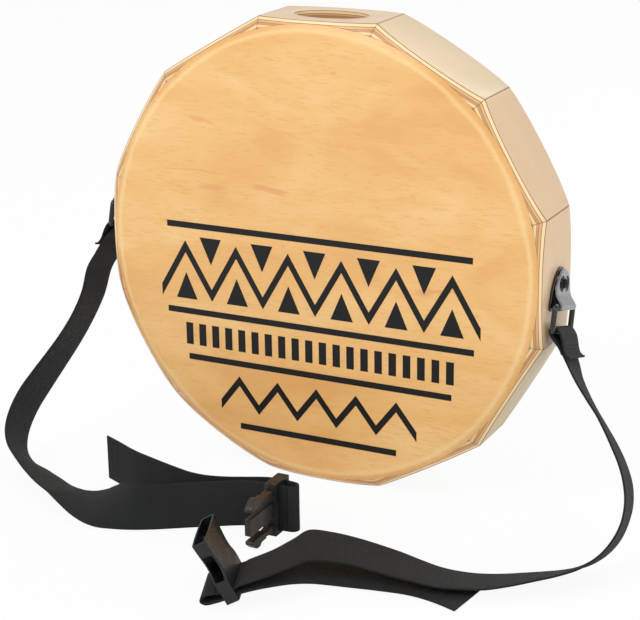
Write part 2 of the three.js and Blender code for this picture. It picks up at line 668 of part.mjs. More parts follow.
// A flat band along a route, closed by a flat end at each side.
function bandGeometry(route) {
  const centres = new THREE.CatmullRomCurve3(route.map(([x, y, z]) => new THREE.Vector3(x, y, z)));
  const acrosses = new THREE.CatmullRomCurve3(route.map((row) => new THREE.Vector3(...row.slice(3))));
  const steps = (route.length - 1) * ROUTE_STEPS;
  const positions = [];
  const indices = [];
  const sides = BAND_SECTION_SHARES.length;
  for (let i = 0; i <= steps; i += 1) {
    const centre = centres.getPoint(i / steps);
    const across = acrosses.getPoint(i / steps).normalize();
    const normal = centres.getTangent(i / steps).cross(across).normalize();
    for (const [wide, thick] of BAND_SECTION_SHARES) {
      const point = centre.clone();
      point.addScaledVector(across, (wide * WEBBING_WIDTH) / 2);
      point.addScaledVector(normal, (thick * WEBBING_THICKNESS) / 2);
      positions.push(point.x, point.y, point.z);
    }
    for (let j = 0; i < steps && j < sides; j += 1) {
      const k = (j + 1) % sides;
      const [a, b] = [i * sides + j, i * sides + k];
      indices.push(a, b, a + sides, b, b + sides, a + sides);
    }
  }
  const last = steps * sides;
  for (let j = 1; j < sides - 1; j += 1) {
    indices.push(0, j + 1, j, last, last + j, last + j + 1);
  }
  return indexed(positions, indices);
}

function buildStraps(part) {
  node("strap_left", bandGeometry(STRAP_LEFT), webbingBlack, part);
  node("strap_left_tail", bandGeometry(STRAP_LEFT_TAIL), webbingBlack, part);
  node("strap_right", bandGeometry(STRAP_RIGHT), webbingBlack, part);
  node("strap_right_tail", bandGeometry(STRAP_RIGHT_TAIL), webbingBlack, part);
}

// Buckle plug, drawn with its bars along Z and its prongs towards -Y.
const plugBody = BACK_BAR_LENGTH + 2 * BAR_LENGTH + 2 * SLOT_LENGTH;

function plugGeometry() {
  let plug = toSolid(box(PLUG_THICKNESS, plugBody, PLUG_WIDTH, 0, -plugBody / 2, PLUG_WIDTH / 2));
  for (const i of [0, 1]) {
    const y = -BACK_BAR_LENGTH - SLOT_LENGTH / 2 - i * (BAR_LENGTH + SLOT_LENGTH);
    const slot = box(PLUG_THICKNESS + CUT_OVERRUN, SLOT_LENGTH, SLOT_WIDTH, 0, y, PLUG_WIDTH / 2);
    plug = plug.subtract(toSolid(slot));
  }
  const guideLength = GUIDE_LENGTH + BAR_LENGTH / 2;
  const guideY = -plugBody - GUIDE_LENGTH + guideLength / 2;
  const guide = box(GUIDE_THICKNESS, guideLength, GUIDE_WIDTH, 0, guideY, PLUG_WIDTH / 2);
  return toGeometry(plug.add(toSolid(guide)));
}

// Along the prong from its root, as shares of its length, and across it, as shares of its barb.
const PRONG_SHARES = [[0.55, 0], [0.62, 0.55], [0.78, 0.5], [0.95, 0.1]];

// A prong in the plane of the buckle: x towards the tip, y outwards from the buckle's middle.
function prongGeometry() {
  const root = PRONG_ROOT / 2;
  const reach = PRONG_LENGTH - root;
  const shape = new THREE.Shape();
  shape.absarc(0, 0, root, Math.PI / 2, (3 * Math.PI) / 2, false);
  shape.lineTo(reach, -root);
  shape.lineTo(reach, 0);
  for (const [along, out] of [...PRONG_SHARES].reverse()) {
    shape.lineTo(along * reach, root + out * (PRONG_BARB - PRONG_ROOT));
  }
  shape.closePath();
  const geometry = new THREE.ExtrudeGeometry(shape, {
    depth: PRONG_THICKNESS,
    bevelEnabled: false,
    curveSegments: ROUND_STEPS / 2,
  });
  return geometry.translate(0, 0, -PRONG_THICKNESS / 2);
}

function buildPlug(part) {
  const buckle = new THREE.Group();
  buckle.position.set(...PLUG_PLACE);
  part.add(buckle);
  node("buckle_plug", plugGeometry(), bucklePlastic, buckle);
  const pivotY = -plugBody - GAP - PRONG_ROOT / 2;
  const rise = PRONG_INSET + PRONG_ROOT / 2 + (PRONG_BARB - PRONG_ROOT) / 2;
  for (const side of [-1, 1]) {
    const name = side < 0 ? "buckle_prong_lower" : "buckle_prong_upper";
    const prong = node(name, prongGeometry(), bucklePlastic, buckle);
    prong.position.set(0, pivotY, side < 0 ? rise : PLUG_WIDTH - rise);
    const forward = new THREE.Vector3(0, -1, 0);
    const outward = new THREE.Vector3(0, 0, side);
    const basis = new THREE.Matrix4().makeBasis(forward, outward, new THREE.Vector3(-side, 0, 0));
    prong.quaternion.setFromRotationMatrix(basis);
  }
}

// Buckle socket, drawn standing on its webbing bar: y across, z towards the mouth.
function socketGeometry() {
  const half = SOCKET_WIDTH / 2;
  const waist = SOCKET_WAIST / 2;
  const base = 3 * SOCKET_BAR + 2 * SOCKET_SLOT;
  const windowTop = SOCKET_WINDOW_RISE + SOCKET_WINDOW_LENGTH;
  const side = [
    [half, 0],
    [half, base],
    [waist, SOCKET_WINDOW_RISE],
    [waist, windowTop],
    [half, SOCKET_LENGTH],
  ];
  const mirrored = side.map(([y, z]) => [-y, z]).reverse();
  let socket = standing([...side, ...mirrored], SOCKET_THICKNESS);
  for (const i of [0, 1]) {
    const z = SOCKET_BAR + SOCKET_SLOT / 2 + i * (SOCKET_BAR + SOCKET_SLOT);
    const slot = box(SOCKET_THICKNESS + CUT_OVERRUN, SOCKET_SLOT_WIDTH, SOCKET_SLOT, 0, 0, z);
    socket = socket.subtract(toSolid(slot));
  }
  const clear = SOCKET_THICKNESS - 2 * SOCKET_WALL;
  const depth = SOCKET_LENGTH - base + CUT_OVERRUN;
  const well = box(clear, 2 * (waist - SOCKET_WALL), depth, 0, 0, base + depth / 2);
  const windowRise = (SOCKET_WINDOW_RISE + windowTop) / 2;
  const windows = box(clear, SOCKET_WIDTH + CUT_OVERRUN, SOCKET_WINDOW_LENGTH, 0, 0, windowRise);
  return toGeometry(socket.subtract(toSolid(well)).subtract(toSolid(windows)));
}

function buildSocket(part) {
  const socket = node("buckle_socket", socketGeometry(), bucklePlastic, part);
  socket.position.set(...SOCKET_PLACE);
  socket.rotation.set(...SOCKET_TURN);
}

const cajon = new THREE.Group();
const drum = new THREE.Group();
drum.position.z = APOTHEM;
cajon.add(drum);
const brackets = [
  { side: 1, hour: FACETS / 4, matrix: bracketFrame(1) },
  { side: -1, hour: (3 * FACETS) / 4, matrix: bracketFrame(-1) },
];
buildDrum(drum, brackets);
buildSnare(drum);
for (const { side, matrix } of brackets) {
  buildBracket(drum, side, matrix);
}
buildStraps(cajon);
buildPlug(cajon);
buildSocket(cajon);

export default cajon;
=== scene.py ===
"""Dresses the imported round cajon: wood, brackets, webbing, buckle, and the studio that shows it.

Everything is in metres in the part's own frame: +Z up, the drum's axis along Y, the front towards -Y.
"""

import json
import logging
import math
from dataclasses import dataclass
from enum import Enum
from typing import Any, Callable, Iterable, Sequence

import bmesh
import bpy
from mathutils import Matrix, Vector

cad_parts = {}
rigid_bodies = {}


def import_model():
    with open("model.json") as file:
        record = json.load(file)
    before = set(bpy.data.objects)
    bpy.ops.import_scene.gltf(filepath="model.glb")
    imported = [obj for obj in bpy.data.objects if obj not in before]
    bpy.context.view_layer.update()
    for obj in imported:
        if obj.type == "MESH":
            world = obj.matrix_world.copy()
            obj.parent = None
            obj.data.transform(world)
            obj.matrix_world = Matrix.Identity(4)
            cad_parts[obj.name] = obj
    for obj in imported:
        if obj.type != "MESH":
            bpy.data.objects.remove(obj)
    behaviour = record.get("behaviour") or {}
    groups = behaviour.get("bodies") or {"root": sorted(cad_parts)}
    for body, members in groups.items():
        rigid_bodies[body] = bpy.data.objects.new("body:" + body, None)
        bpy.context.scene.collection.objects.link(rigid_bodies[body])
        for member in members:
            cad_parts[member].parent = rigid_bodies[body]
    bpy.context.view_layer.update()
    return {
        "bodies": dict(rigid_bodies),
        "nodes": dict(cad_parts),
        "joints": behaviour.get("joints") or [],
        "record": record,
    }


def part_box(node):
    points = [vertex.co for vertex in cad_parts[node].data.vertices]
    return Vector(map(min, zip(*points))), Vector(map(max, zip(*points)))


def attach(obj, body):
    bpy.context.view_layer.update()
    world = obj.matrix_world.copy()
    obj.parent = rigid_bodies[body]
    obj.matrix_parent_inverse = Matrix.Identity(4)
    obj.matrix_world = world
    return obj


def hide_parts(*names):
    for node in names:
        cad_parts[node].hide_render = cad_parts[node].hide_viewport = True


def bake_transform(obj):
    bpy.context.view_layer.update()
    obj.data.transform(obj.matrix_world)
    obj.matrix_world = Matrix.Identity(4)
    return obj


MM = 0.001
NODE_STEP = 220
WEAVE_MAP = "weave"
HOLE_SIDES = 24
WELL_SIDES = 48
ARCH_SIDES = 96
log = logging.getLogger("cajon")

Row = tuple[float, float, float, float, float, float]
Route = tuple[Row, ...]
Colour = tuple[int, int, int]
Plain = tuple[float, float, float]
Pairs = list[tuple[float, float]]
Piece = bpy.types.Object
Value = bpy.types.NodeSocket


class Slot(Enum):
    """The record's material slots."""

    BIRCH = "birch_panel"
    PLYWOOD = "plywood"
    SPRUCE = "spruce"
    STEEL = "snare_steel"
    METAL = "black_metal"
    WEBBING = "webbing"
    PLASTIC = "buckle_plastic"


class Hand(Enum):
    """The side of the drum, seen from its front, with its sign along X."""

    LEFT = -1
    RIGHT = 1

    @property
    def word(self) -> str:
        """The word that the side's piece names end in."""
        return self.name.lower()


class Solver(Enum):
    """What a Boolean modifier does with its cutter."""

    CUT = "DIFFERENCE"
    COMMON = "INTERSECT"
    JOIN = "UNION"


#: Directions across a band that stands on its edge, and across one at the socket's bar.
UPRIGHT = (0.0, 0.0, 1.0)
SOCKET_BAR = (-0.358, 0.933, 0.034)

#: Each route's rows hold a place on the band's middle line and the direction across the band there.
STRAP_LEFT: Route = (
    (-0.2166, -0.0112, 0.1821, 0.0, 0.961, -0.276),
    (-0.2223, -0.0141, 0.1717, 0.0, 0.961, -0.276),
    (-0.2286, -0.0175, 0.1596, 0.0, 0.961, -0.276),
    (-0.234, -0.0223, 0.136, -0.03, 0.94, -0.33),
    (-0.241, -0.031, 0.1147, -0.07, 0.9, -0.42),
    (-0.249, -0.041, 0.096, -0.08, 0.86, -0.5),
    (-0.257, -0.053, 0.079, -0.08, 0.8, -0.59),
    (-0.264, -0.067, 0.063, -0.06, 0.73, -0.68),
    (-0.269, -0.083, 0.0475, -0.03, 0.67, -0.74),
    (-0.2685, -0.0995, 0.0335, 0.01, 0.63, -0.78),
    (-0.2615, -0.115, 0.023, 0.09, 0.62, -0.78),
    (-0.248, -0.128, 0.0165, 0.2, 0.67, -0.71),
    (-0.23, -0.138, 0.0135, 0.31, 0.75, -0.58),
    (-0.211, -0.149, 0.0115, 0.37, 0.79, -0.47),
    (-0.192, -0.1595, 0.01, 0.39, 0.83, -0.4),
    (-0.173, -0.168, 0.01, 0.36, 0.89, -0.28),
    (-0.155, -0.176, 0.0105, 0.33, 0.93, -0.02),
    (-0.137, -0.1845, 0.013, 0.32, 0.89, 0.32),
    (-0.12, -0.1915, 0.0168, 0.28, 0.68, 0.68),
    (-0.105, -0.195, 0.0202, 0.2, 0.28, 0.94),
    (-0.09, -0.1945, 0.0214, 0.1, 0.02, 1.0),
    (-0.0745, -0.187, 0.0215, 0.04, -0.03, 1.0),
    (-0.059, -0.177, 0.0217, 0.0, -0.02, 1.0),
    (-0.043, -0.168, 0.0223, *UPRIGHT),
    (-0.026, -0.16, 0.0232, *UPRIGHT),
    (-0.0085, -0.1536, 0.0245, *UPRIGHT),
    (0.01, -0.1512, 0.0255, *UPRIGHT),
    (0.03, -0.1512, 0.0255, *UPRIGHT),
)
STRAP_LEFT_TAIL: Route = (
    (0.0303, -0.1512, 0.0255, *UPRIGHT),
    (0.035, -0.1498, 0.0255, *UPRIGHT),
    (0.0372, -0.146, 0.0255, *UPRIGHT),
    (0.035, -0.1422, 0.0255, *UPRIGHT),
    (0.03, -0.1408, 0.0255, *UPRIGHT),
    (0.01, -0.1408, 0.0255, *UPRIGHT),
    (-0.01, -0.143, 0.0232, *UPRIGHT),
    (-0.027, -0.1465, 0.0216, *UPRIGHT),
    (-0.044, -0.1498, 0.021, *UPRIGHT),
    (-0.06, -0.1502, 0.0211, *UPRIGHT),
    (-0.075, -0.1472, 0.0214, *UPRIGHT),
    (-0.102, -0.139, 0.0213, *UPRIGHT),
    (-0.127, -0.1305, 0.0213, *UPRIGHT),
    (-0.15, -0.1195, 0.0213, *UPRIGHT),
    (-0.166, -0.1121, 0.0213, *UPRIGHT),
)
STRAP_RIGHT: Route = (
    (0.2166, -0.0112, 0.1401, -0.031, 0.956, -0.291),
    (0.2214, -0.0136, 0.1314, -0.077, 0.946, -0.314),
    (0.2265, -0.0163, 0.1221, -0.131, 0.932, -0.339),
    (0.2336, -0.0197, 0.1128, -0.168, 0.919, -0.357),
    (0.2412, -0.0232, 0.1038, -0.12, 0.88, -0.46),
    (0.2503, -0.027, 0.094, -0.04, 0.83, -0.56),
    (0.2613, -0.035, 0.0836, 0.04, 0.79, -0.61),
    (0.2717, -0.045, 0.0736, 0.08, 0.76, -0.65),
    (0.2807, -0.0556, 0.0636, 0.07, 0.72, -0.69),
    (0.287, -0.0674, 0.053, 0.0, 0.68, -0.73),
    (0.29, -0.08, 0.042, -0.12, 0.65, -0.75),
    (0.2894, -0.093, 0.0313, -0.23, 0.64, -0.73),
    (0.2847, -0.1062, 0.0224, -0.34, 0.65, -0.68),
    (0.2764, -0.1187, 0.0156, -0.44, 0.68, -0.59),
    (0.265, -0.13, 0.0116, -0.51, 0.72, -0.47),
    (0.2517, -0.1408, 0.0098, -0.52, 0.76, -0.38),
    (0.2373, -0.151, 0.0086, -0.5, 0.8, -0.31),
    (0.2224, -0.1605, 0.0072, -0.46, 0.85, -0.24),
    (0.207, -0.169, 0.0064, -0.4, 0.9, -0.17),
    (0.191, -0.1755, 0.007, -0.34, 0.93, -0.13),
    (0.1746, -0.1802, 0.0084, -0.27, 0.96, -0.08),
    (0.158, -0.183, 0.0116, -0.23, 0.97, -0.04),
    (0.1417, -0.1855, 0.015, -0.21, 0.98, 0.02),
    (0.125, -0.188, 0.0183, -0.23, 0.97, 0.05),
    (0.108, -0.1912, 0.0215, -0.27, 0.96, 0.08),
    (0.0915, -0.1975, 0.0246, -0.34, 0.93, 0.14),
    (0.078, -0.2075, 0.0273, -0.419, 0.888, 0.19),
    (0.0734, -0.227, 0.0283, -0.4, 0.909, 0.12),
    (0.0638, -0.244, 0.0255, -0.365, 0.929, 0.06),
    (0.0496, -0.2575, 0.0209, *SOCKET_BAR),
    (0.0446, -0.2593, 0.0181, *SOCKET_BAR),
    (0.0395, -0.2611, 0.0154, *SOCKET_BAR),
    (0.0352, -0.2627, 0.0135, *SOCKET_BAR),
    (0.0304, -0.2646, 0.0126, *SOCKET_BAR),
)
STRAP_RIGHT_TAIL: Route = (
    (0.03, -0.2647, 0.0125, *SOCKET_BAR),
    (0.0247, -0.2667, 0.0113, *SOCKET_BAR),
    (0.021, -0.268, 0.009, *SOCKET_BAR),
    (0.0199, -0.2683, 0.0054, *SOCKET_BAR),
    (0.0231, -0.267, 0.0035, *SOCKET_BAR),
    (0.0296, -0.2646, 0.0051, *SOCKET_BAR),
    (0.0358, -0.2623, 0.0075, *SOCKET_BAR),
    (0.0417, -0.2601, 0.0106, *SOCKET_BAR),
    (0.0476, -0.258, 0.0137, *SOCKET_BAR),
    (0.057, -0.2515, 0.0164, -0.38, 0.92, 0.05),
    (0.066, -0.24, 0.016, -0.42, 0.9, 0.05),
    (0.074, -0.226, 0.013, -0.45, 0.89, 0.03),
    (0.083, -0.212, 0.0085, -0.42, 0.9, 0.01),
    (0.095, -0.201, 0.0045, -0.32, 0.94, 0.0),
    (0.112, -0.193, 0.0022, -0.17, 0.98, 0.0),
    (0.135, -0.1875, 0.0017, -0.1, 1.0, 0.0),
    (0.16, -0.1845, 0.0017, -0.08, 1.0, 0.0),
    (0.184, -0.1875, 0.0017, 0.05, 1.0, 0.0),
    (0.204, -0.1935, 0.0017, 0.12, 0.99, 0.0),
)


class Bench:
    """Modelling moves, made with Blender's own tools on one piece at a time."""

    @staticmethod
    def hold(*pieces: Piece) -> Piece:
        """Makes these pieces the whole selection, the last one active.

        Args:
            pieces: The pieces to hold.

        Returns:
            The active piece.
        """
        Bench.clear()
        for piece in pieces:
            piece.select_set(True)
        bpy.context.view_layer.objects.active = pieces[-1]
        return pieces[-1]

    @staticmethod
    def clear() -> None:
        """Deselects everything, as the frame's nodes are selected after loading."""
        if bpy.context.object and bpy.context.object.mode != "OBJECT":
            bpy.ops.object.mode_set(mode="OBJECT")
        bpy.ops.object.select_all(action="DESELECT")

    @staticmethod
    def settle(name: str) -> Piece:
        """Names the newly added piece and puts its place into its mesh.

        Args:
            name: The piece's name.

        Returns:
            The piece, at the origin.
        """
        piece = bpy.context.object
        piece.name = name
        piece.data.name = name
        bpy.ops.object.transform_apply(location=True, rotation=True, scale=True)
        return piece

    @classmethod
    def box(cls, name: str, size: Sequence[float], place: Sequence[float]) -> Piece:
        """Adds a block of a size, with its middle at a place."""
        cls.clear()
        bpy.ops.mesh.primitive_cube_add(size=1, location=tuple(place), scale=tuple(size))
        return cls.settle(name)

    @classmethod
    def rod(
        cls, name: str, radius: float | tuple[float, float], length: float, place: Sequence[float], sides: int
    ) -> Piece:
        """Adds a round or oval rod along Z.

        Args:
            name: The piece's name.
            radius: Its radius, or its half widths along X and Y.
            length: Its length.
            place: Its middle.
            sides: How many sides its outline has.

        Returns:
            The rod.
        """
        wide, deep = radius if isinstance(radius, tuple) else (radius, radius)
        cls.clear()
        bpy.ops.mesh.primitive_cylinder_add(
            vertices=sides, radius=1, depth=length, location=tuple(place), scale=(wide, deep, 1)
        )
        return cls.settle(name)

    @classmethod
    def traced(cls, name: str, points: Sequence[Sequence[float]]) -> Piece:
        """Traces a line of edges by extruding one point from place to place, and leaves it in edit mode."""
        cls.clear()
        bpy.ops.mesh.primitive_plane_add(size=MM, location=tuple(points[0]))
        piece = cls.settle(name)
        bpy.ops.object.mode_set(mode="EDIT")
        bpy.ops.mesh.select_mode(type="VERT")
        bpy.ops.mesh.select_all(action="SELECT")
        bpy.ops.mesh.merge(type="CENTER")
        for here, there in zip(points, points[1:]):
            move = Vector(there) - Vector(here)
            bpy.ops.mesh.extrude_region_move(TRANSFORM_OT_translate={"value": tuple(move)})
        bpy.ops.mesh.select_all(action="SELECT")
        return piece

    @classmethod
    def slab(
        cls, name: str, points: Sequence[Sequence[float]], depth: Sequence[float], steps: int = 1
    ) -> Piece:
        """Fills a traced outline and extrudes it.

        Args:
            name: The piece's name.
            points: The outline's corners, in order.
            depth: The extrusion's whole move.
            steps: How many equal moves it is made in.

        Returns:
            The closed slab.
        """
        piece = cls.traced(name, points)
        bpy.ops.mesh.edge_face_add()
        for _ in range(steps):
            move = tuple(Vector(depth) / steps)
            bpy.ops.mesh.extrude_region_move(TRANSFORM_OT_translate={"value": move})
        return cls.closed(piece)

    @classmethod
    def turned(
        cls,
        name: str,
        profile: Sequence[Sequence[float]],
        steps: int,
        centre: Sequence[float],
        axis: Sequence[float],
    ) -> Piece:
        """Spins a traced profile a full turn round an axis.

        Args:
            name: The piece's name.
            profile: The points of the profile, its ends on the axis.
            steps: How many steps the turn has.
            centre: A point of the axis.
            axis: The axis's direction.

        Returns:
            The closed turning.
        """
        piece = cls.traced(name, profile)
        bpy.ops.mesh.spin(steps=steps, angle=2 * math.pi, center=tuple(centre), axis=tuple(axis))
        return cls.closed(piece)

    @classmethod
    def closed(cls, piece: Piece) -> Piece:
        """Merges doubled points, turns all faces outwards and leaves edit mode."""
        bpy.ops.mesh.select_all(action="SELECT")
        bpy.ops.mesh.remove_doubles(threshold=MM / 1000)
        bpy.ops.mesh.normals_make_consistent(inside=False)
        bpy.ops.object.mode_set(mode="OBJECT")
        return piece

    @classmethod
    def combine(cls, piece: Piece, tool: Piece, action: Solver) -> Piece:
        """Cuts or joins a piece with a tool piece, which is used up."""
        cls.hold(piece)
        modifier = piece.modifiers.new(action.name, "BOOLEAN")
        modifier.operation = action.value
        modifier.solver = "EXACT"
        modifier.object = tool
        bpy.ops.object.modifier_apply(modifier=modifier.name)
        bpy.data.objects.remove(tool)
        return piece

    @classmethod
    def eased(cls, piece: Piece, width: float, segments: int = 2, angle: float = 30) -> Piece:
        """Rounds every edge that is sharper than an angle.

        Args:
            piece: The piece.
            width: The round's width.
            segments: How many faces it has across.
            angle: The least angle in degrees.

        Returns:
            The piece.
        """
        cls.hold(piece)
        modifier = piece.modifiers.new("ease", "BEVEL")
        modifier.width = width
        modifier.segments = segments
        modifier.limit_method = "ANGLE"
        modifier.angle_limit = math.radians(angle)
        modifier.use_clamp_overlap = True
        bpy.ops.object.modifier_apply(modifier=modifier.name)
        return piece

    @classmethod
    def halved(cls, piece: Piece, point: Sequence[float], normal: Sequence[float]) -> Piece:
        """Bisects a piece and drops what lies on the normal's side, closing the cut."""
        cls.hold(piece)
        bpy.ops.object.mode_set(mode="EDIT")
        bpy.ops.mesh.select_all(action="SELECT")
        bpy.ops.mesh.bisect(
            plane_co=tuple(point), plane_no=tuple(normal), use_fill=True, clear_outer=True
        )
        return cls.closed(piece)

    @classmethod
    def copied(cls, piece: Piece, name: str, move: Matrix) -> Piece:
        """Copies a piece with its own mesh, moves the copy and puts its place into its mesh."""
        cls.hold(piece)
        bpy.ops.object.duplicate()
        twin = bpy.context.object
        twin.matrix_world = move
        return cls.settle(name)

    @classmethod
    def placed(cls, piece: Piece, move: Matrix) -> Piece:
        """Moves a piece and puts its place into its mesh."""
        cls.hold(piece)
        piece.matrix_world = move
        return cls.settle(piece.name)

    @staticmethod
    def reshaped(piece: Piece, rule: Callable[[Vector], Vector]) -> Piece:
        """Moves every point of a piece by a rule, as with a sculpting brush."""
        for vertex in piece.data.vertices:
            vertex.co = rule(vertex.co.copy())
        piece.data.update()
        return piece

    @classmethod
    def joined(cls, pieces: Sequence[Piece], name: str) -> Piece:
        """Joins several pieces into one."""
        cls.hold(*pieces)
        bpy.ops.object.join()
        return cls.settle(name)

    @classmethod
    def finished(
        cls,
        piece: Piece,
        finish: "Finish",
        body: str | None,
        replaces: Sequence[str] = (),
        smooth: float = 32,
    ) -> Piece:
        """Shades and dresses a piece, attaches it to its body if it has one, and hides the frame's nodes that
        it stands for.

        Args:
            piece: The piece, in its place.
            finish: Its finish.
            body: The body that it rides on, or None for a piece that is left unattached.
            replaces: The frame's nodes that it stands for.
            smooth: The angle in degrees under which its shading is smooth.

        Returns:
            The piece.
        """
        cls.hold(piece)
        bpy.ops.object.shade_smooth_by_angle(angle=math.radians(smooth))
        piece.data.materials.clear()
        piece.data.materials.append(finish.material())
        if body is not None:
            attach(piece, body)
        if replaces:
            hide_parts(*replaces)
        log.info("%s: %d faces", piece.name, len(piece.data.polygons))
        return piece


def dress_node(name: str, finish: "Finish") -> None:
    """Gives one of the frame's own nodes its finish."""
    node = bpy.data.objects[name]
    node.data.materials.clear()
    node.data.materials.append(finish.material())
    log.info("%s: kept, dressed", name)


def soft_corners(points: Sequence[Sequence[float]], reach: float, steps: int) -> list[Vector]:
    """Rounds the corners of a flat closed outline.

    Args:
        points: The outline's corners as pairs.
        reach: How far from each corner its round starts.
        steps: How many points the round has.

    Returns:
        The rounded outline.
    """
    corners = [Vector(point) for point in points]
    rounded = []
    for i, corner in enumerate(corners):
        before = corners[i - 1] - corner
        after = corners[(i + 1) % len(corners)] - corner
        start = corner + before.normalized() * min(reach, before.length / 2)
        end = corner + after.normalized() * min(reach, after.length / 2)
        for k in range(steps + 1):
            t = k / steps
            rounded.append((1 - t) ** 2 * start + 2 * t * (1 - t) * corner + t**2 * end)
    return rounded


def linear(colour: Colour) -> tuple[float, float, float, float]:
    """Turns a colour in 0 to 255 steps, as a screen shows it, into linear light."""
    shares = [value / 255 for value in colour]
    light = [s / 12.92 if s <= 0.04045 else ((s + 0.055) / 1.055) ** 2.4 for s in shares]
    return (light[0], light[1], light[2], 1.0)


class Graph:
    """The nodes of one material or group, added from left to right."""

    def __init__(self, tree: bpy.types.NodeTree) -> None:
        """Takes over an empty tree."""
        self.tree = tree
        tree.nodes.clear()

    def feed(self, socket: Value, value: Any) -> None:
        """Links a socket into an input, or sets the input's plain value."""
        if isinstance(value, Value):
            self.tree.links.new(value, socket)
        else:
            socket.default_value = value

    def node(self, kind: str, inputs: dict[str | int, Any] | None = None, **settings: Any) -> Any:
        """Adds a node.

        Args:
            kind: Its type's name, without the ShaderNode in front.
            inputs: What its inputs get, by name or number.
            settings: Its own properties.

        Returns:
            The node.
        """
        made = self.tree.nodes.new(kind if kind.startswith("Node") else f"ShaderNode{kind}")
        made.location = (NODE_STEP * len(self.tree.nodes), 0)
        for key, value in settings.items():
            setattr(made, key, value)
        for key, value in (inputs or {}).items():
            self.feed(made.inputs[key], value)
        return made

    def math(self, operation: str, *values: Any) -> Value:
        """Adds a Math node and gives its result."""
        made = self.node("Math", operation=operation)
        for i, value in enumerate(values):
            self.feed(made.inputs[i], value)
        return made.outputs[0]

    def noise(
        self, vector: Any, scale: float, detail: float = 2.0, rough: float = 0.5, warp: float = 0.0
    ) -> Value:
        """Adds a Noise Texture and gives its value."""
        made = self.node(
            "TexNoise",
            {"Vector": vector, "Scale": scale, "Detail": detail, "Roughness": rough, "Distortion": warp},
        )
        return made.outputs["Fac"]

    def stretched(self, vector: Any, scale: Plain, turn: Plain = (0, 0, 0)) -> Value:
        """Adds a Mapping node that turns and scales a vector."""
        made = self.node("Mapping", {"Vector": vector, "Rotation": turn, "Scale": scale})
        return made.outputs[0]

    def ramp(self, value: Any, stops: Sequence[tuple[float, Colour]]) -> Value:
        """Adds a Color Ramp through stops of a place and a colour."""
        made = self.node("ValToRGB", {"Fac": value})
        band = made.color_ramp
        while len(band.elements) < len(stops):
            band.elements.new(1.0)
        for element, (place, colour) in zip(band.elements, stops):
            element.position = place
            element.color = linear(colour)
        return made.outputs["Color"]

    def between(self, value: Any, low: float, high: float, first: float, last: float) -> Any:
        """Maps a value from one range to another, clamped, with soft ends."""
        made = self.node(
            "MapRange",
            {"Value": value, "From Min": low, "From Max": high, "To Min": first, "To Max": last},
            interpolation_type="SMOOTHSTEP",
        )
        return made.outputs["Result"]

    def mix(self, share: Any, first: Any, last: Any) -> Value:
        """Adds a colour Mix node."""
        made = self.node("Mix", data_type="RGBA")
        self.feed(made.inputs[0], share)
        self.feed(made.inputs[6], first)
        self.feed(made.inputs[7], last)
        return made.outputs[2]

    def stain(self, colour: Any, share: Any, over: Colour) -> Value:
        """Mixes a plain colour over another by a share."""
        return self.mix(share, colour, linear(over))

    def here(self) -> Value:
        """Adds the Object coordinates."""
        return self.node("TexCoord").outputs["Object"]

    def axis(self, vector: Any, letter: str) -> Value:
        """Gives one coordinate of a vector."""
        return self.node("SeparateXYZ", {0: vector}).outputs[letter]

    def shared(self, group: bpy.types.NodeTree, inputs: dict[str, Any]) -> Any:
        """Places a shared group."""
        made = self.node("Group", node_tree=group)
        for key, value in inputs.items():
            self.feed(made.inputs[key], value)
        return made

    def grain(self, vector: Any) -> Any:
        """Places the veneer's figure on a vector and gives its outputs."""
        return self.shared(Shared.grain(), {"Vector": vector, "Scale": 1.0}).outputs


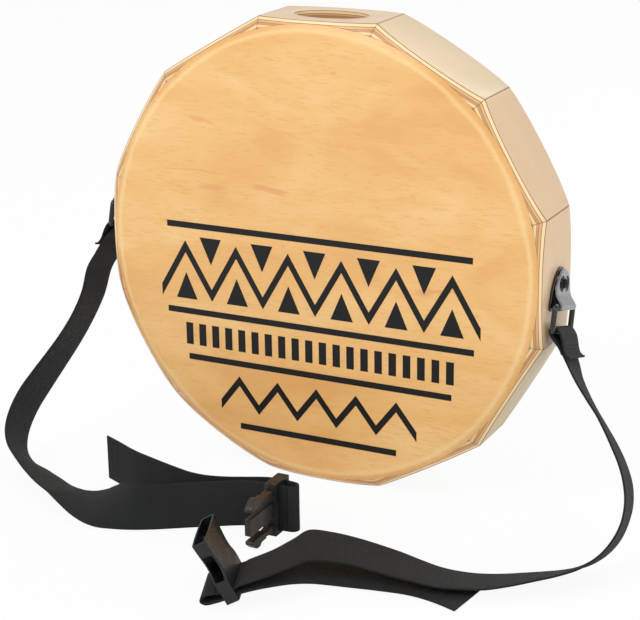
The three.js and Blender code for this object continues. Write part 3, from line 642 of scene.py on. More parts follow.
class Shared:
    """Shader groups that several finishes place, each built once."""

    #: How often the veneer's figure repeats in a metre along the grain and across it.
    CLOUD = (7, 11, 14)
    FLECK = (90, 700, 700)
    STREAK = (3, 30, 30)
    #: How many smears and specks there are in a metre.
    SMEARS = 6.0
    SPECKS = 120.0

    @staticmethod
    def start(name: str, inputs: dict[str, str], outputs: Iterable[str]) -> Graph | None:
        """Makes a group with its sockets.

        Args:
            name: The group's name.
            inputs: Each input's name with its socket's type, Float or Vector.
            outputs: The outputs' names, all of type Float.

        Returns:
            Its graph, or None where the group is already there.
        """
        if name in bpy.data.node_groups:
            return None
        tree = bpy.data.node_groups.new(name, "ShaderNodeTree")
        for key, kind in inputs.items():
            tree.interface.new_socket(name=key, in_out="INPUT", socket_type=f"NodeSocket{kind}")
        for key in outputs:
            tree.interface.new_socket(name=key, in_out="OUTPUT", socket_type="NodeSocketFloat")
        return Graph(tree)

    @staticmethod
    def sized(graph: Graph) -> Value:
        """Gives a group's own vector times its own scale."""
        given = graph.node("NodeGroupInput")
        size = graph.node("VectorMath", operation="SCALE")
        graph.feed(size.inputs[0], given.outputs["Vector"])
        graph.feed(size.inputs["Scale"], given.outputs["Scale"])
        return size.outputs[0]

    @staticmethod
    def close(graph: Graph, values: dict[str, Any]) -> None:
        """Feeds a group's outputs."""
        out = graph.node("NodeGroupOutput")
        for key, value in values.items():
            graph.feed(out.inputs[key], value)

    @classmethod
    def grain(cls) -> bpy.types.NodeTree:
        """The figure of a peeled veneer whose grain runs along X.

        Returns:
            The group. Cloud is the broad figure, Fleck the short pores along the grain, Streak the
            long darker bands, and all go from 0 to 1 about a middle of 0.5.
        """
        outputs = ("Cloud", "Fleck", "Streak")
        graph = cls.start("veneer_grain", {"Vector": "Vector", "Scale": "Float"}, outputs)
        if graph:
            here = cls.sized(graph)
            cloud = graph.noise(graph.stretched(here, cls.CLOUD), 1.0, 3, 0.55, 0.8)
            fleck = graph.noise(graph.stretched(here, cls.FLECK), 1.0, 3, 0.6)
            streak = graph.noise(graph.stretched(here, cls.STREAK), 1.0, 2, 0.5, 0.6)
            cls.close(graph, {"Cloud": cloud, "Fleck": fleck, "Streak": streak})
        return bpy.data.node_groups["veneer_grain"]

    @classmethod
    def facet(cls) -> bpy.types.NodeTree:
        """Where a point lies on the ring of staves, from Object coordinates.

        Returns:
            The group. Depth is millimetres below the facet, Along is metres along it across the
            drum's axis, and Stave is a number of its own for each stave.
        """
        outputs = ("Depth", "Along", "Stave")
        graph = cls.start("stave_place", {"Facets": "Float", "Apothem": "Float"}, outputs)
        if graph:
            given = graph.node("NodeGroupInput")
            apothem = given.outputs["Apothem"]
            step = graph.math("DIVIDE", 2 * math.pi, given.outputs["Facets"])
            axes = graph.node("SeparateXYZ", {0: graph.here()}).outputs
            x = axes["X"]
            z = graph.math("SUBTRACT", axes["Z"], apothem)
            angle = graph.math("ARCTAN2", x, z)
            stave = graph.math("ROUND", graph.math("DIVIDE", angle, step))
            off = graph.math("SUBTRACT", angle, graph.math("MULTIPLY", stave, step))
            squares = graph.math("ADD", graph.math("MULTIPLY", x, x), graph.math("MULTIPLY", z, z))
            radius = graph.math("SQRT", squares)
            reach = graph.math("MULTIPLY", radius, graph.math("COSINE", off))
            depth = graph.math("DIVIDE", graph.math("SUBTRACT", apothem, reach), MM)
            along = graph.math("MULTIPLY", radius, graph.math("SINE", off))
            cls.close(graph, {"Depth": depth, "Along": along, "Stave": stave})
        return bpy.data.node_groups["stave_place"]

    @classmethod
    def wear(cls) -> bpy.types.NodeTree:
        """Handling marks: a soft smear and a sharper speck, for any finish.

        Returns:
            The group, with Smear and Speck from 0 to 1.
        """
        graph = cls.start("handling", {"Vector": "Vector", "Scale": "Float"}, ("Smear", "Speck"))
        if graph:
            here = cls.sized(graph)
            smear = graph.between(graph.noise(here, cls.SMEARS, 4, 0.6, 0.4), 0.35, 0.7, 0, 1)
            speck = graph.between(graph.noise(here, cls.SPECKS, 2, 0.5), 0.62, 0.74, 0, 1)
            cls.close(graph, {"Smear": smear, "Speck": speck})
        return bpy.data.node_groups["handling"]

    @classmethod
    def weave(cls) -> bpy.types.NodeTree:
        """Rows of short slanted picks, as on narrow woven webbing, on a map in metres.

        Returns:
            The group, with Height from 0 to 1 and Pick, a number of its own for each pick.
        """
        inputs = {"Vector": "Vector", "Pitch": "Float", "Row": "Float"}
        graph = cls.start("webbing_weave", inputs, ("Height", "Pick"))
        if graph:
            given = graph.node("NodeGroupInput")
            axes = graph.node("SeparateXYZ", {0: given.outputs["Vector"]})
            along = graph.math("DIVIDE", axes.outputs["X"], given.outputs["Pitch"])
            across = graph.math("DIVIDE", axes.outputs["Y"], given.outputs["Row"])
            row = graph.math("FLOOR", across)
            lean = graph.math("PINGPONG", graph.math("MULTIPLY", row, 0.5), 1.0)
            within = graph.math("SUBTRACT", across, row)
            slant = graph.math("MULTIPLY", graph.math("SUBTRACT", lean, 0.5), within)
            place = graph.math("ADD", along, graph.math("ADD", slant, graph.math("MULTIPLY", row, 0.5)))
            pick = graph.math("FRACT", place)
            hump = graph.math("SINE", graph.math("MULTIPLY", pick, math.pi))
            side = graph.math("SINE", graph.math("MULTIPLY", within, math.pi))
            height = graph.math("MULTIPLY", graph.math("SQRT", hump), graph.math("SQRT", side))
            key = graph.node("CombineXYZ", {0: graph.math("FLOOR", place), 1: row})
            own = graph.node("TexWhiteNoise", {"Vector": key.outputs[0]}, noise_dimensions="2D")
            cls.close(graph, {"Height": height, "Pick": own.outputs["Value"]})
        return bpy.data.node_groups["webbing_weave"]


@dataclass(frozen=True)
class Finish:
    """A surface's looks. Each kind of surface paints its own nodes.

    Attributes:
        name: The material's name.
        slot: The record's slot that it belongs to. Not used.
    """

    name: str
    slot: Slot

    def material(self) -> bpy.types.Material:
        """Gives the finish's material, built at its first use."""
        if self.name in bpy.data.materials:
            return bpy.data.materials[self.name]
        made = bpy.data.materials.new(self.name)
        made.use_nodes = True
        graph = Graph(made.node_tree)
        shader = graph.node("BsdfPrincipled")
        graph.node("OutputMaterial", {"Surface": shader.outputs[0]})
        self.paint(graph, shader)
        return made

    def paint(self, graph: Graph, shader: Any) -> None:
        """Feeds the shader. Each finish has its own."""
        raise NotImplementedError

    @staticmethod
    def sheen(graph: Graph, shader: Any, scale: float, rough: tuple[float, float]) -> Any:
        """Feeds the shader's roughness from handling marks.

        Args:
            graph: The material's graph.
            shader: Its shader.
            scale: The marks' scale.
            rough: The roughness where there is no smear, and under a full one.

        Returns:
            The marks' outputs.
        """
        marks = graph.shared(Shared.wear(), {"Vector": graph.here(), "Scale": scale}).outputs
        graph.feed(shader.inputs["Roughness"], graph.between(marks["Smear"], 0, 1, *rough))
        return marks

    @staticmethod
    def coated(shader: Any, weight: float, rough: float) -> None:
        """Lays a clear coat over the shader."""
        shader.inputs["Coat Weight"].default_value = weight
        shader.inputs["Coat Roughness"].default_value = rough

    @staticmethod
    def relief(graph: Graph, shader: Any, height: Any, depth: float) -> None:
        """Feeds a height into the shader's normal.

        Args:
            graph: The material's graph.
            shader: Its shader.
            height: The height from 0 to 1.
            depth: What a height of 1 stands for, in metres.
        """
        bump = graph.node("Bump", {"Height": height, "Distance": depth, "Strength": 1.0})
        graph.feed(shader.inputs["Normal"], bump.outputs[0])


@dataclass(frozen=True)
class Birch(Finish):
    """Clear-coated birch veneer with its grain along X, over the plies of a thin panel.

    Attributes:
        face: From the drum's middle plane to the panel's face.
    """

    pale: Colour = (246, 205, 140)
    middle: Colour = (240, 188, 117)
    dark: Colour = (226, 164, 92)
    streak: Colour = (228, 150, 98)
    core: Colour = (222, 160, 92)
    sanded: Colour = (252, 224, 168)
    face: float = 38 * MM
    veneer: float = 1.0 * MM

    #: How often mineral lines and knots repeat in a metre along the grain and across it.
    LINES = (9, 60, 60)
    KNOTS = (14, 30, 30)
    #: How far below the face the painted highlight band on the rounding starts and is full, and starts to end
    #: and has ended.
    THINNED = ((0.1 * MM, 0.7 * MM), (0.9 * MM, 1.6 * MM))

    def paint(self, graph: Graph, shader: Any) -> None:
        """Mixes cloud, flecks, knots and mineral streaks, with a painted highlight band and the core showing
        on the rounding.
        """
        here = graph.here()
        grain = graph.grain(here)
        cloud = graph.math("MULTIPLY", grain["Cloud"], 0.7)
        broad = graph.math("ADD", cloud, graph.math("MULTIPLY", grain["Streak"], 0.3))
        wood = graph.ramp(broad, ((0.3, self.dark), (0.5, self.middle), (0.68, self.pale)))
        wood = graph.stain(wood, graph.between(grain["Fleck"], 0.5, 0.72, 0, 0.5), self.dark)
        line = graph.noise(graph.stretched(here, self.LINES), 1.0, 2, 0.5, 1.2)
        wood = graph.stain(wood, graph.between(line, 0.68, 0.76, 0, 0.55), self.streak)
        knots = graph.node("TexVoronoi", {"Vector": graph.stretched(here, self.KNOTS), "Scale": 1.0})
        knot = graph.between(knots.outputs["Distance"], 0.02, 0.07, 0.55, 0)
        wood = graph.stain(wood, knot, self.streak)
        below = graph.math("SUBTRACT", self.face, graph.math("ABSOLUTE", graph.axis(here, "Y")))
        wobble = graph.math("MULTIPLY", graph.math("SUBTRACT", grain["Streak"], 0.5), self.veneer)
        depth = graph.math("ADD", below, wobble)
        # A lighter band just inside the panel's rim: a painted highlight on the rounding.
        started, ended = (graph.between(depth, low, high, 0, 0.4) for low, high in self.THINNED)
        wood = graph.stain(wood, graph.math("SUBTRACT", started, ended), self.sanded)
        bare = graph.between(depth, 1.4 * self.veneer, 2.4 * self.veneer, 0, 0.32)
        graph.feed(shader.inputs["Base Color"], graph.stain(wood, bare, self.core))
        self.sheen(graph, shader, 2.0, (0.34, 0.46))
        self.coated(shader, 0.25, 0.22)
        self.relief(graph, shader, grain["Fleck"], 0.03 * MM)


@dataclass(frozen=True)
class Plywood(Finish):
    """Lacquered plywood staves: veneer outside, plies and glue lines wherever they are cut.

    Attributes:
        thickness: A stave's thickness in millimetres.
        sharp: Half a glue line's width, as a share of the thickness.
        skin_depth: Millimetres below the facet at which the veneer starts to end, and has ended.
    """

    facets: int = 12
    apothem: float = 200 * MM
    thickness: float = 9.0
    outside: Colour = (232, 204, 172)
    warm: Colour = (226, 188, 138)
    dull: Colour = (214, 194, 146)
    glue: Colour = (148, 98, 58)
    joint: Colour = (150, 112, 100)
    sharp: float = 0.006
    skin_depth: tuple[float, float] = (0.08, 0.16)

    #: The plies from the facet inwards: millimetres down at their top and bottom, and a colour.
    PLIES = (
        (0.0, 0.1, (232, 204, 172)),
        (0.62, 2.5, (252, 222, 172)),
        (2.95, 4.4, (226, 178, 124)),
        (4.75, 6.1, (208, 152, 98)),
        (6.4, 8.3, (244, 208, 152)),
        (8.55, 9.0, (232, 204, 172)),
    )

    def paint(self, graph: Graph, shader: Any) -> None:
        """Lays the plies by their depth below the facet, and gives each stave a tone of its own."""
        here = graph.here()
        given = {"Facets": float(self.facets), "Apothem": self.apothem}
        place = graph.shared(Shared.facet(), given).outputs
        parts = {0: place["Along"], 1: graph.axis(here, "Y"), 2: place["Stave"]}
        grain = graph.grain(graph.node("CombineXYZ", parts).outputs[0])
        own = graph.node("TexWhiteNoise", {"W": place["Stave"]}, noise_dimensions="1D")
        lot = graph.math("MULTIPLY", own.outputs["Value"], 0.55)
        tone = graph.math("ADD", lot, graph.math("MULTIPLY", grain["Cloud"], 0.6))
        skin = graph.ramp(tone, ((0.2, self.dull), (0.55, self.outside), (0.95, self.warm)))
        skin = graph.stain(skin, graph.between(grain["Fleck"], 0.5, 0.75, 0, 0.3), self.warm)
        sway = graph.math("MULTIPLY", graph.math("SUBTRACT", grain["Streak"], 0.5), 0.5)
        depth = graph.math("ADD", place["Depth"], sway)
        plies = graph.ramp(graph.math("DIVIDE", depth, self.thickness), self.layers())
        edge = self.to_joint(graph, place)
        skin = graph.stain(skin, graph.between(edge, 0.3 * MM, 0.95 * MM, 0.8, 0), self.joint)
        plies = graph.stain(plies, graph.between(edge, 0.2 * MM, 0.7 * MM, 0.3, 0), self.joint)
        cut = graph.between(place["Depth"], *self.skin_depth, 0, 1)
        graph.feed(shader.inputs["Base Color"], graph.mix(cut, skin, plies))
        self.sheen(graph, shader, 2.0, (0.36, 0.5))
        self.coated(shader, 0.2, 0.25)
        self.relief(graph, shader, grain["Fleck"], 0.03 * MM)

    def to_joint(self, graph: Graph, place: Any) -> Value:
        """Gives the distance to the stave's nearer mitre, from its place on the ring of staves."""
        reach = graph.math("SUBTRACT", self.apothem, graph.math("MULTIPLY", place["Depth"], MM))
        half = graph.math("MULTIPLY", reach, math.tan(math.pi / self.facets))
        return graph.math("SUBTRACT", half, graph.math("ABSOLUTE", place["Along"]))

    def layers(self) -> list[tuple[float, Colour]]:
        """The plies as places from the outer to the inner face, with glue lines between them."""
        stops = []
        for top, bottom, colour in self.PLIES:
            if stops:
                stops.append((top / self.thickness - self.sharp, self.glue))
            stops.append((top / self.thickness, colour))
            stops.append((bottom / self.thickness, colour))
            if bottom < self.thickness:
                stops.append((bottom / self.thickness + self.sharp, self.glue))
        return stops


@dataclass(frozen=True)
class Softwood(Finish):
    """Bare planed spruce for the rail inside the drum."""

    early: Colour = (232, 205, 158)
    late: Colour = (196, 150, 98)

    #: How often the growth rings repeat in a metre along the grain and across it.
    RINGS = (4, 120, 260)

    def paint(self, graph: Graph, shader: Any) -> None:
        """Draws growth rings along X."""
        here = graph.here()
        fleck = graph.grain(here)["Fleck"]
        given = {"Vector": graph.stretched(here, self.RINGS), "Scale": 1.0, "Distortion": 2.0}
        rings = graph.node("TexWave", given)
        wood = graph.ramp(rings.outputs["Fac"], ((0.2, self.early), (0.9, self.late)))
        graph.feed(shader.inputs["Base Color"], graph.stain(wood, 0.35, self.early))
        graph.feed(shader.inputs["Roughness"], graph.between(fleck, 0.3, 0.7, 0.6, 0.75))
        self.relief(graph, shader, fleck, 0.05 * MM)


@dataclass(frozen=True)
class Steel(Finish):
    """Plain drawn steel with the turns of the snare's coiled wires."""

    tone: Colour = (205, 207, 212)
    smeared: Colour = (170, 168, 166)
    turn_pitch: float = 1.4 * MM

    def paint(self, graph: Graph, shader: Any) -> None:
        """Winds fine ridges up the wires."""
        marks = self.sheen(graph, shader, 4.0, (0.25, 0.4))
        dull = graph.math("MULTIPLY", marks["Smear"], 0.4)
        tint = graph.mix(dull, linear(self.tone), linear(self.smeared))
        graph.feed(shader.inputs["Base Color"], tint)
        shader.inputs["Metallic"].default_value = 1.0
        turned = graph.math("MULTIPLY", graph.axis(graph.here(), "Z"), 2 * math.pi)
        ridges = graph.math("SINE", graph.math("DIVIDE", turned, self.turn_pitch))
        self.relief(graph, shader, ridges, 0.12 * MM)


@dataclass(frozen=True)
class Coated(Finish):
    """Black coated steel, glossier or duller, rubbed where it is handled. The pressed bridge's copy is grey
    all over, as painted sheen.
    """

    tone: Colour = (30, 30, 32)
    rubbed: Colour = (74, 74, 79)
    gloss: float = 0.22
    metallic: float = 0.35
    specular: float = 0.5
    coat: float = 0.0

    def paint(self, graph: Graph, shader: Any) -> None:
        """Mixes the coat with its rubbed places."""
        marks = self.sheen(graph, shader, 9.0, (self.gloss - 0.05, self.gloss + 0.1))
        rub = graph.math("MULTIPLY", marks["Smear"], 0.35)
        graph.feed(shader.inputs["Base Color"], graph.mix(rub, linear(self.tone), linear(self.rubbed)))
        shader.inputs["Metallic"].default_value = self.metallic
        shader.inputs["Specular IOR Level"].default_value = self.specular
        self.coated(shader, self.coat, 0.12)
        self.relief(graph, shader, marks["Speck"], 0.02 * MM)


@dataclass(frozen=True)
class Webbing(Finish):
    """Black woven webbing, on each band's own map in metres.

    Attributes:
        pitch: From one pick to the next along the band.
        row: From one row of picks to the next across it.
    """

    yarn: Colour = (31, 33, 33)
    shade: Colour = (14, 15, 16)
    dust: Colour = (46, 47, 48)
    worn: Colour = (54, 55, 57)
    pitch: float = 1.5 * MM
    row: float = 1.05 * MM
    half_width: float = 20 * MM
    selvedge: float = 1.6 * MM

    def paint(self, graph: Graph, shader: Any) -> None:
        """Weaves the picks, darkens the gaps among them and firms the selvedges."""
        flat = graph.node("UVMap", uv_map=WEAVE_MAP).outputs[0]
        given = {"Vector": flat, "Pitch": self.pitch, "Row": self.row}
        woven = graph.shared(Shared.weave(), given).outputs
        tint = graph.mix(woven["Height"], linear(self.shade), linear(self.yarn))
        marks = graph.shared(Shared.wear(), {"Vector": graph.here(), "Scale": 3.0}).outputs
        tint = graph.stain(tint, graph.math("MULTIPLY", marks["Smear"], 0.16), self.dust)
        tint = graph.stain(tint, graph.math("MULTIPLY", woven["Pick"], 0.12), self.worn)
        graph.feed(shader.inputs["Base Color"], tint)
        graph.feed(shader.inputs["Roughness"], graph.between(woven["Height"], 0, 1, 0.92, 0.74))
        shader.inputs["Specular IOR Level"].default_value = 0.3
        shader.inputs["Sheen Weight"].default_value = 0.04
        shader.inputs["Sheen Roughness"].default_value = 0.5
        aside = graph.math("ABSOLUTE", graph.axis(flat, "Y"))
        edge = graph.between(aside, self.half_width - self.selvedge, self.half_width, 0, 0.6)
        self.relief(graph, shader, graph.math("ADD", woven["Height"], edge), 0.22 * MM)


@dataclass(frozen=True)
class Thread(Finish):
    """Waxed sewing thread of the hems."""

    tone: Colour = (58, 58, 62)
    shade: Colour = (36, 36, 40)

    #: How often the strands repeat in a metre along each axis.
    STRANDS = (900, 900, 2600)

    def paint(self, graph: Graph, shader: Any) -> None:
        """Twists fine strands round each stitch."""
        twist = graph.noise(graph.stretched(graph.here(), self.STRANDS), 1.0, 1, 0.4)
        graph.feed(shader.inputs["Base Color"], graph.mix(twist, linear(self.shade), linear(self.tone)))
        graph.feed(shader.inputs["Roughness"], graph.between(twist, 0.3, 0.7, 0.5, 0.7))
        self.relief(graph, shader, twist, 0.08 * MM)


@dataclass(frozen=True)
class Plastic(Finish):
    """Moulded black plastic with a fine spark-eroded skin.

    Attributes:
        skin: How many grains of its skin there are in a metre.
    """

    tone: Colour = (33, 35, 37)
    warm: Colour = (42, 42, 42)
    gloss: float = 0.3
    specular: float = 0.4
    skin: float = 2600.0

    def paint(self, graph: Graph, shader: Any) -> None:
        """Mixes two near blacks, with scuffs in the sheen."""
        marks = self.sheen(graph, shader, 7.0, (self.gloss, self.gloss + 0.16))
        tint = graph.mix(marks["Smear"], linear(self.tone), linear(self.warm))
        graph.feed(shader.inputs["Base Color"], tint)
        shader.inputs["Specular IOR Level"].default_value = self.specular
        self.relief(graph, shader, graph.noise(graph.here(), self.skin, 2, 0.6), 0.035 * MM)


@dataclass(frozen=True)
class Print(Finish):
    """Black screen ink on the veneer, thin enough that the grain just shows in its sheen."""

    ink: Colour = (22, 21, 22)
    thin: Colour = (52, 44, 38)

    def paint(self, graph: Graph, shader: Any) -> None:
        """Lets the grain break the ink a little."""
        grain = graph.grain(graph.here())
        worn = graph.between(grain["Fleck"], 0.6, 0.8, 0, 0.25)
        graph.feed(shader.inputs["Base Color"], graph.mix(worn, linear(self.ink), linear(self.thin)))
        graph.feed(shader.inputs["Roughness"], graph.between(grain["Cloud"], 0.3, 0.7, 0.4, 0.52))
        shader.inputs["Specular IOR Level"].default_value = 0.3
        self.relief(graph, shader, grain["Fleck"], 0.02 * MM)


@dataclass
class Drum:
    """Twelve mitred staves, two thin panels and what is printed on the front one.

    Attributes:
        apothem: From the axis to a facet.
        half_depth: From the middle plane to a panel's face.
        gap: The glue joint's width.
        roll_inset: How far inside the facet the face starts to round.
        port: The half width and half depth of the sound port.
    """

    apothem: float
    half_depth: float
    panel: float
    facets: int = 12
    stave: float = 9 * MM
    gap: float = 0.3 * MM
    roll_inset: float = 15 * MM
    roll_radius: float = 26 * MM
    turn_steps: int = 240
    roll_steps: int = 18
    port: tuple[float, float] = (33 * MM, 19 * MM)
    screw_hole: float = 2.05 * MM
    ease: float = 0.3 * MM

    BRACKET_HOURS = {3: Hand.RIGHT, 9: Hand.LEFT}

    @classmethod
    def from_frame(cls) -> "Drum":
        """Takes the driving sizes from the frame's own pieces."""
        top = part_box("stave_12_oclock_with_port")[1].z
        low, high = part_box("front_panel")
        return cls(apothem=top / 2, half_depth=-low.y, panel=high.y - low.y)

    @property
    def axis(self) -> Vector:
        """The middle of the drum."""
        return Vector((0, 0, self.apothem))

    def roll(self, last_angle: float, steps: int) -> Pairs:
        """The round-over's points as pairs of a radius and a depth below the face."""
        start = self.apothem - self.roll_inset
        angles = [last_angle * i / steps for i in range(steps + 1)]
        return [
            (start + self.roll_radius * math.sin(a), self.roll_radius * (1 - math.cos(a)))
            for a in angles
        ]

    def lathe(self, name: str, profile: Pairs) -> Piece:
        """Turns pairs of a radius and a Y about the drum's axis."""
        points = [(radius, y, self.apothem) for radius, y in profile]
        return Bench.turned(name, points, self.turn_steps, self.axis, (0, 1, 0))

    def envelope(self) -> Piece:
        """The whole drum's turned outside, as a solid."""
        roll = self.roll(math.pi / 2, self.roll_steps)
        front = [(r, s - self.half_depth) for r, s in roll]
        back = [(r, self.half_depth - s) for r, s in reversed(roll)]
        return self.lathe("envelope", [(0, -self.half_depth), *front, *back, (0, self.half_depth)])

    def blank(self) -> Piece:
        """One stave at twelve o'clock, mitred and rounded over."""
        half_step = math.pi / self.facets
        reach = self.half_depth - self.panel - self.gap
        width = 2 * self.apothem * math.tan(half_step) + self.stave
        middle = (0, 0, 2 * self.apothem - self.stave / 2)
        stave = Bench.box("stave", (width, 2 * reach, self.stave), middle)
        for side in (-1, 1):
            normal = Vector((side * math.cos(half_step), 0, -math.sin(half_step)))
            Bench.halved(stave, self.axis - normal * self.gap / 2, normal)
        return Bench.combine(stave, self.envelope(), Solver.COMMON)

    def cut_port(self, stave: Piece) -> None:
        """Cuts the oval sound port through a stave."""
        place = (0, 0, 2 * self.apothem - self.stave / 2)
        port = Bench.rod("port", self.port, 3 * self.stave, place, ARCH_SIDES)
        Bench.combine(stave, port, Solver.CUT)

    def cut_screw_holes(self, stave: Piece, hand: Hand) -> None:
        """Drills a side stave for its bracket's screws."""
        for letter in "ab":
            low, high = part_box(f"bracket_screw_{hand.word}_{letter}")
            hole = Bench.rod("hole", self.screw_hole, 3 * self.stave, (0, 0, 0), HOLE_SIDES)
            turn = Matrix.Translation((low + high) / 2) @ Matrix.Rotation(math.pi / 2, 4, "Y")
            Bench.combine(stave, Bench.placed(hole, turn), Solver.CUT)

    def build_staves(self, finish: Plywood) -> None:
        """Copies the blank to every hour, and cuts what each one needs."""
        blank = self.blank()
        centre = Matrix.Translation(self.axis)
        for i in range(self.facets):
            hour = self.facets if i == 0 else i
            name = "stave_12_oclock_with_port" if i == 0 else f"stave_{hour}_oclock"
            turn = centre @ Matrix.Rotation(2 * math.pi * i / self.facets, 4, "Y") @ centre.inverted()
            stave = Bench.copied(blank, f"ply_{name}", turn)
            if i == 0:
                self.cut_port(stave)
            if hour in self.BRACKET_HOURS:
                self.cut_screw_holes(stave, self.BRACKET_HOURS[hour])
            Bench.eased(stave, self.ease, 2, 24)
            Bench.finished(stave, finish, "root", [name], 28)
        bpy.data.objects.remove(blank)

    def build_panels(self, finish: Birch) -> None:
        """Turns the front panel and copies it to the back."""
        rim = math.acos(1 - self.panel / self.roll_radius)
        roll = [(r, s - self.half_depth) for r, s in self.roll(rim, self.roll_steps // 2)]
        inside = self.panel - self.half_depth
        front = self.lathe("birch_front_panel", [(0, -self.half_depth), *roll, (0, inside)])
        back = Bench.copied(front, "birch_back_panel", Matrix.Rotation(math.pi, 4, "Z"))
        Bench.finished(front, finish, "root", ["front_panel"])
        Bench.finished(back, finish, "root", ["back_panel"])

    def build(self) -> None:
        """Builds the wood of the drum."""
        self.build_staves(Plywood("lacquered_plywood", Slot.PLYWOOD))
        self.build_panels(Birch("clear_coated_birch", Slot.BIRCH))


@dataclass
class Frieze:
    """A black printed frieze over the lower half of the front: zigzags, triangles and bars.

    Attributes:
        face: The front panel's face along Y.
        film: How far the ink stands proud.
        sink: How far the ink's back lies in the veneer.
        period: The width of one large zigzag, and of one triangle's share of the row.
        zigzag: The large zigzag's bottom and height.
        standing: The bottom of the standing triangles and their height.
        hanging: The top of the hanging triangles and their height, which points down.
        post: The left, right, bottom and top of the first short bar.
    """

    face: float
    film: float = 0.06 * MM
    sink: float = 0.02 * MM
    line: float = 5.5 * MM
    period: float = 50 * MM
    zigzag: tuple[float, float] = (150 * MM, 42 * MM)
    triangle_width: float = 21 * MM
    standing: tuple[float, float] = (150 * MM, 24 * MM)
    hanging: tuple[float, float] = (207 * MM, -24 * MM)
    post: tuple[float, float, float, float] = (3 * MM, 10 * MM, 108 * MM, 128 * MM)
    post_step: float = 13 * MM
    small_period: float = 37.5 * MM
    small_zigzag: tuple[float, float] = (52 * MM, 24 * MM)

    #: Half the length and the bottom of each level line, from the top one down.
    LINES = (
        (142.5 * MM, 214 * MM),
        (144.5 * MM, 136 * MM),
        (125 * MM, 94 * MM),
        (75 * MM, 36 * MM),
    )

    def patch(self, points: Pairs) -> Piece:
        """Cuts one flat patch of ink from pairs of X and Z."""
        outline = [(x, self.face + self.sink, z) for x, z in points]
        return Bench.slab("ink", outline, (0, -self.sink - self.film, 0))

    @staticmethod
    def block(left: float, right: float, bottom: float, top: float) -> Pairs:
        """The outline of a block."""
        return [(left, bottom), (right, bottom), (right, top), (left, top)]

    def repeated(self, points: Pairs, count: int, step: float) -> list[Piece]:
        """Repeats a patch along X, the row centred on the drum.

        Args:
            points: The patch's outline, with X from 0 at the copy's left.
            count: How many copies there are.
            step: The distance from one to the next.

        Returns:
            The copies.
        """
        start = -count * step / 2
        first = self.patch([(start + x, z) for x, z in points])
        moves = [Matrix.Translation((i * step, 0, 0)) for i in range(1, count)]
        return [first, *(Bench.copied(first, "ink", move) for move in moves)]

    def chevron(self, period: float, bottom: float, height: float) -> Pairs:
        """The outline of one peak of a zigzag, drawn with an even stroke."""
        half = period / 2
        rise = self.line * math.hypot(half, height) / half
        return [
            (0, bottom),
            (half, bottom + height),
            (period, bottom),
            (period, bottom + rise),
            (half, bottom + height + rise),
            (0, bottom + rise),
        ]

    def triangle(self, base: float, height: float) -> Pairs:
        """The outline of a triangle in the middle of a period, pointing down for a height below 0."""
        left, width = (self.period - self.triangle_width) / 2, self.triangle_width
        return [(left, base), (left + width, base), (left + width / 2, base + height)]

    def build(self, finish: Print) -> None:
        """Prints the four lines and the rows between them."""
        patches = [self.patch(self.block(-half, half, low, low + self.line)) for half, low in self.LINES]
        for outline, count, step in (
            (self.chevron(self.period, *self.zigzag), 6, self.period),
            (self.triangle(*self.standing), 6, self.period),
            (self.triangle(*self.hanging), 5, self.period),
            (self.block(*self.post), 20, self.post_step),
            (self.chevron(self.small_period, *self.small_zigzag), 5, self.small_period),
        ):
            patches += self.repeated(outline, count, step)
        Bench.finished(Bench.joined(patches, "front_print"), finish, "root", smooth=10)


def dress_snare_unit() -> None:
    """Dresses the rail, its blocks, the wires and their screws, which only the port shows."""
    spruce = Softwood("planed_spruce", Slot.SPRUCE)
    steel = Steel("drawn_steel", Slot.STEEL)
    dress_node("snare_rail", spruce)
    for hand in Hand:
        dress_node(f"rail_block_{hand.word}", spruce)
        dress_node(f"snare_wires_{hand.word}", steel)
        for letter in "ab":
            dress_node(f"snare_screw_{hand.word}_{letter}", steel)


class Spline:
    """A centripetal Catmull-Rom curve through points, open at both ends."""

    def __init__(self, points: Sequence[Vector]) -> None:
        """Takes the points that the curve passes through."""
        first = 2 * points[0] - points[1]
        last = 2 * points[-1] - points[-2]
        self.points = [first, *points, last]

    def at(self, place: float) -> Vector:
        """Gives the point at a place from 0 to the number of spans."""
        span = min(int(place), len(self.points) - 4)
        t = place - span
        p = self.points[span : span + 4]
        gaps = [math.sqrt((b - a).length) for a, b in zip(p, p[1:])]
        middle = gaps[1] if gaps[1] > MM / 10 else 1.0
        before, after = (g if g > MM / 10 else middle for g in (gaps[0], gaps[2]))
        start = (p[1] - p[0]) / before - (p[2] - p[0]) / (before + middle) + (p[2] - p[1]) / middle
        end = (p[2] - p[1]) / middle - (p[3] - p[1]) / (middle + after) + (p[3] - p[2]) / after
        start, end = start * middle, end * middle
        bend = 3 * (p[2] - p[1]) - 2 * start - end
        twist = 2 * (p[1] - p[2]) + start + end
        return p[1] + start * t + bend * t**2 + twist * t**3


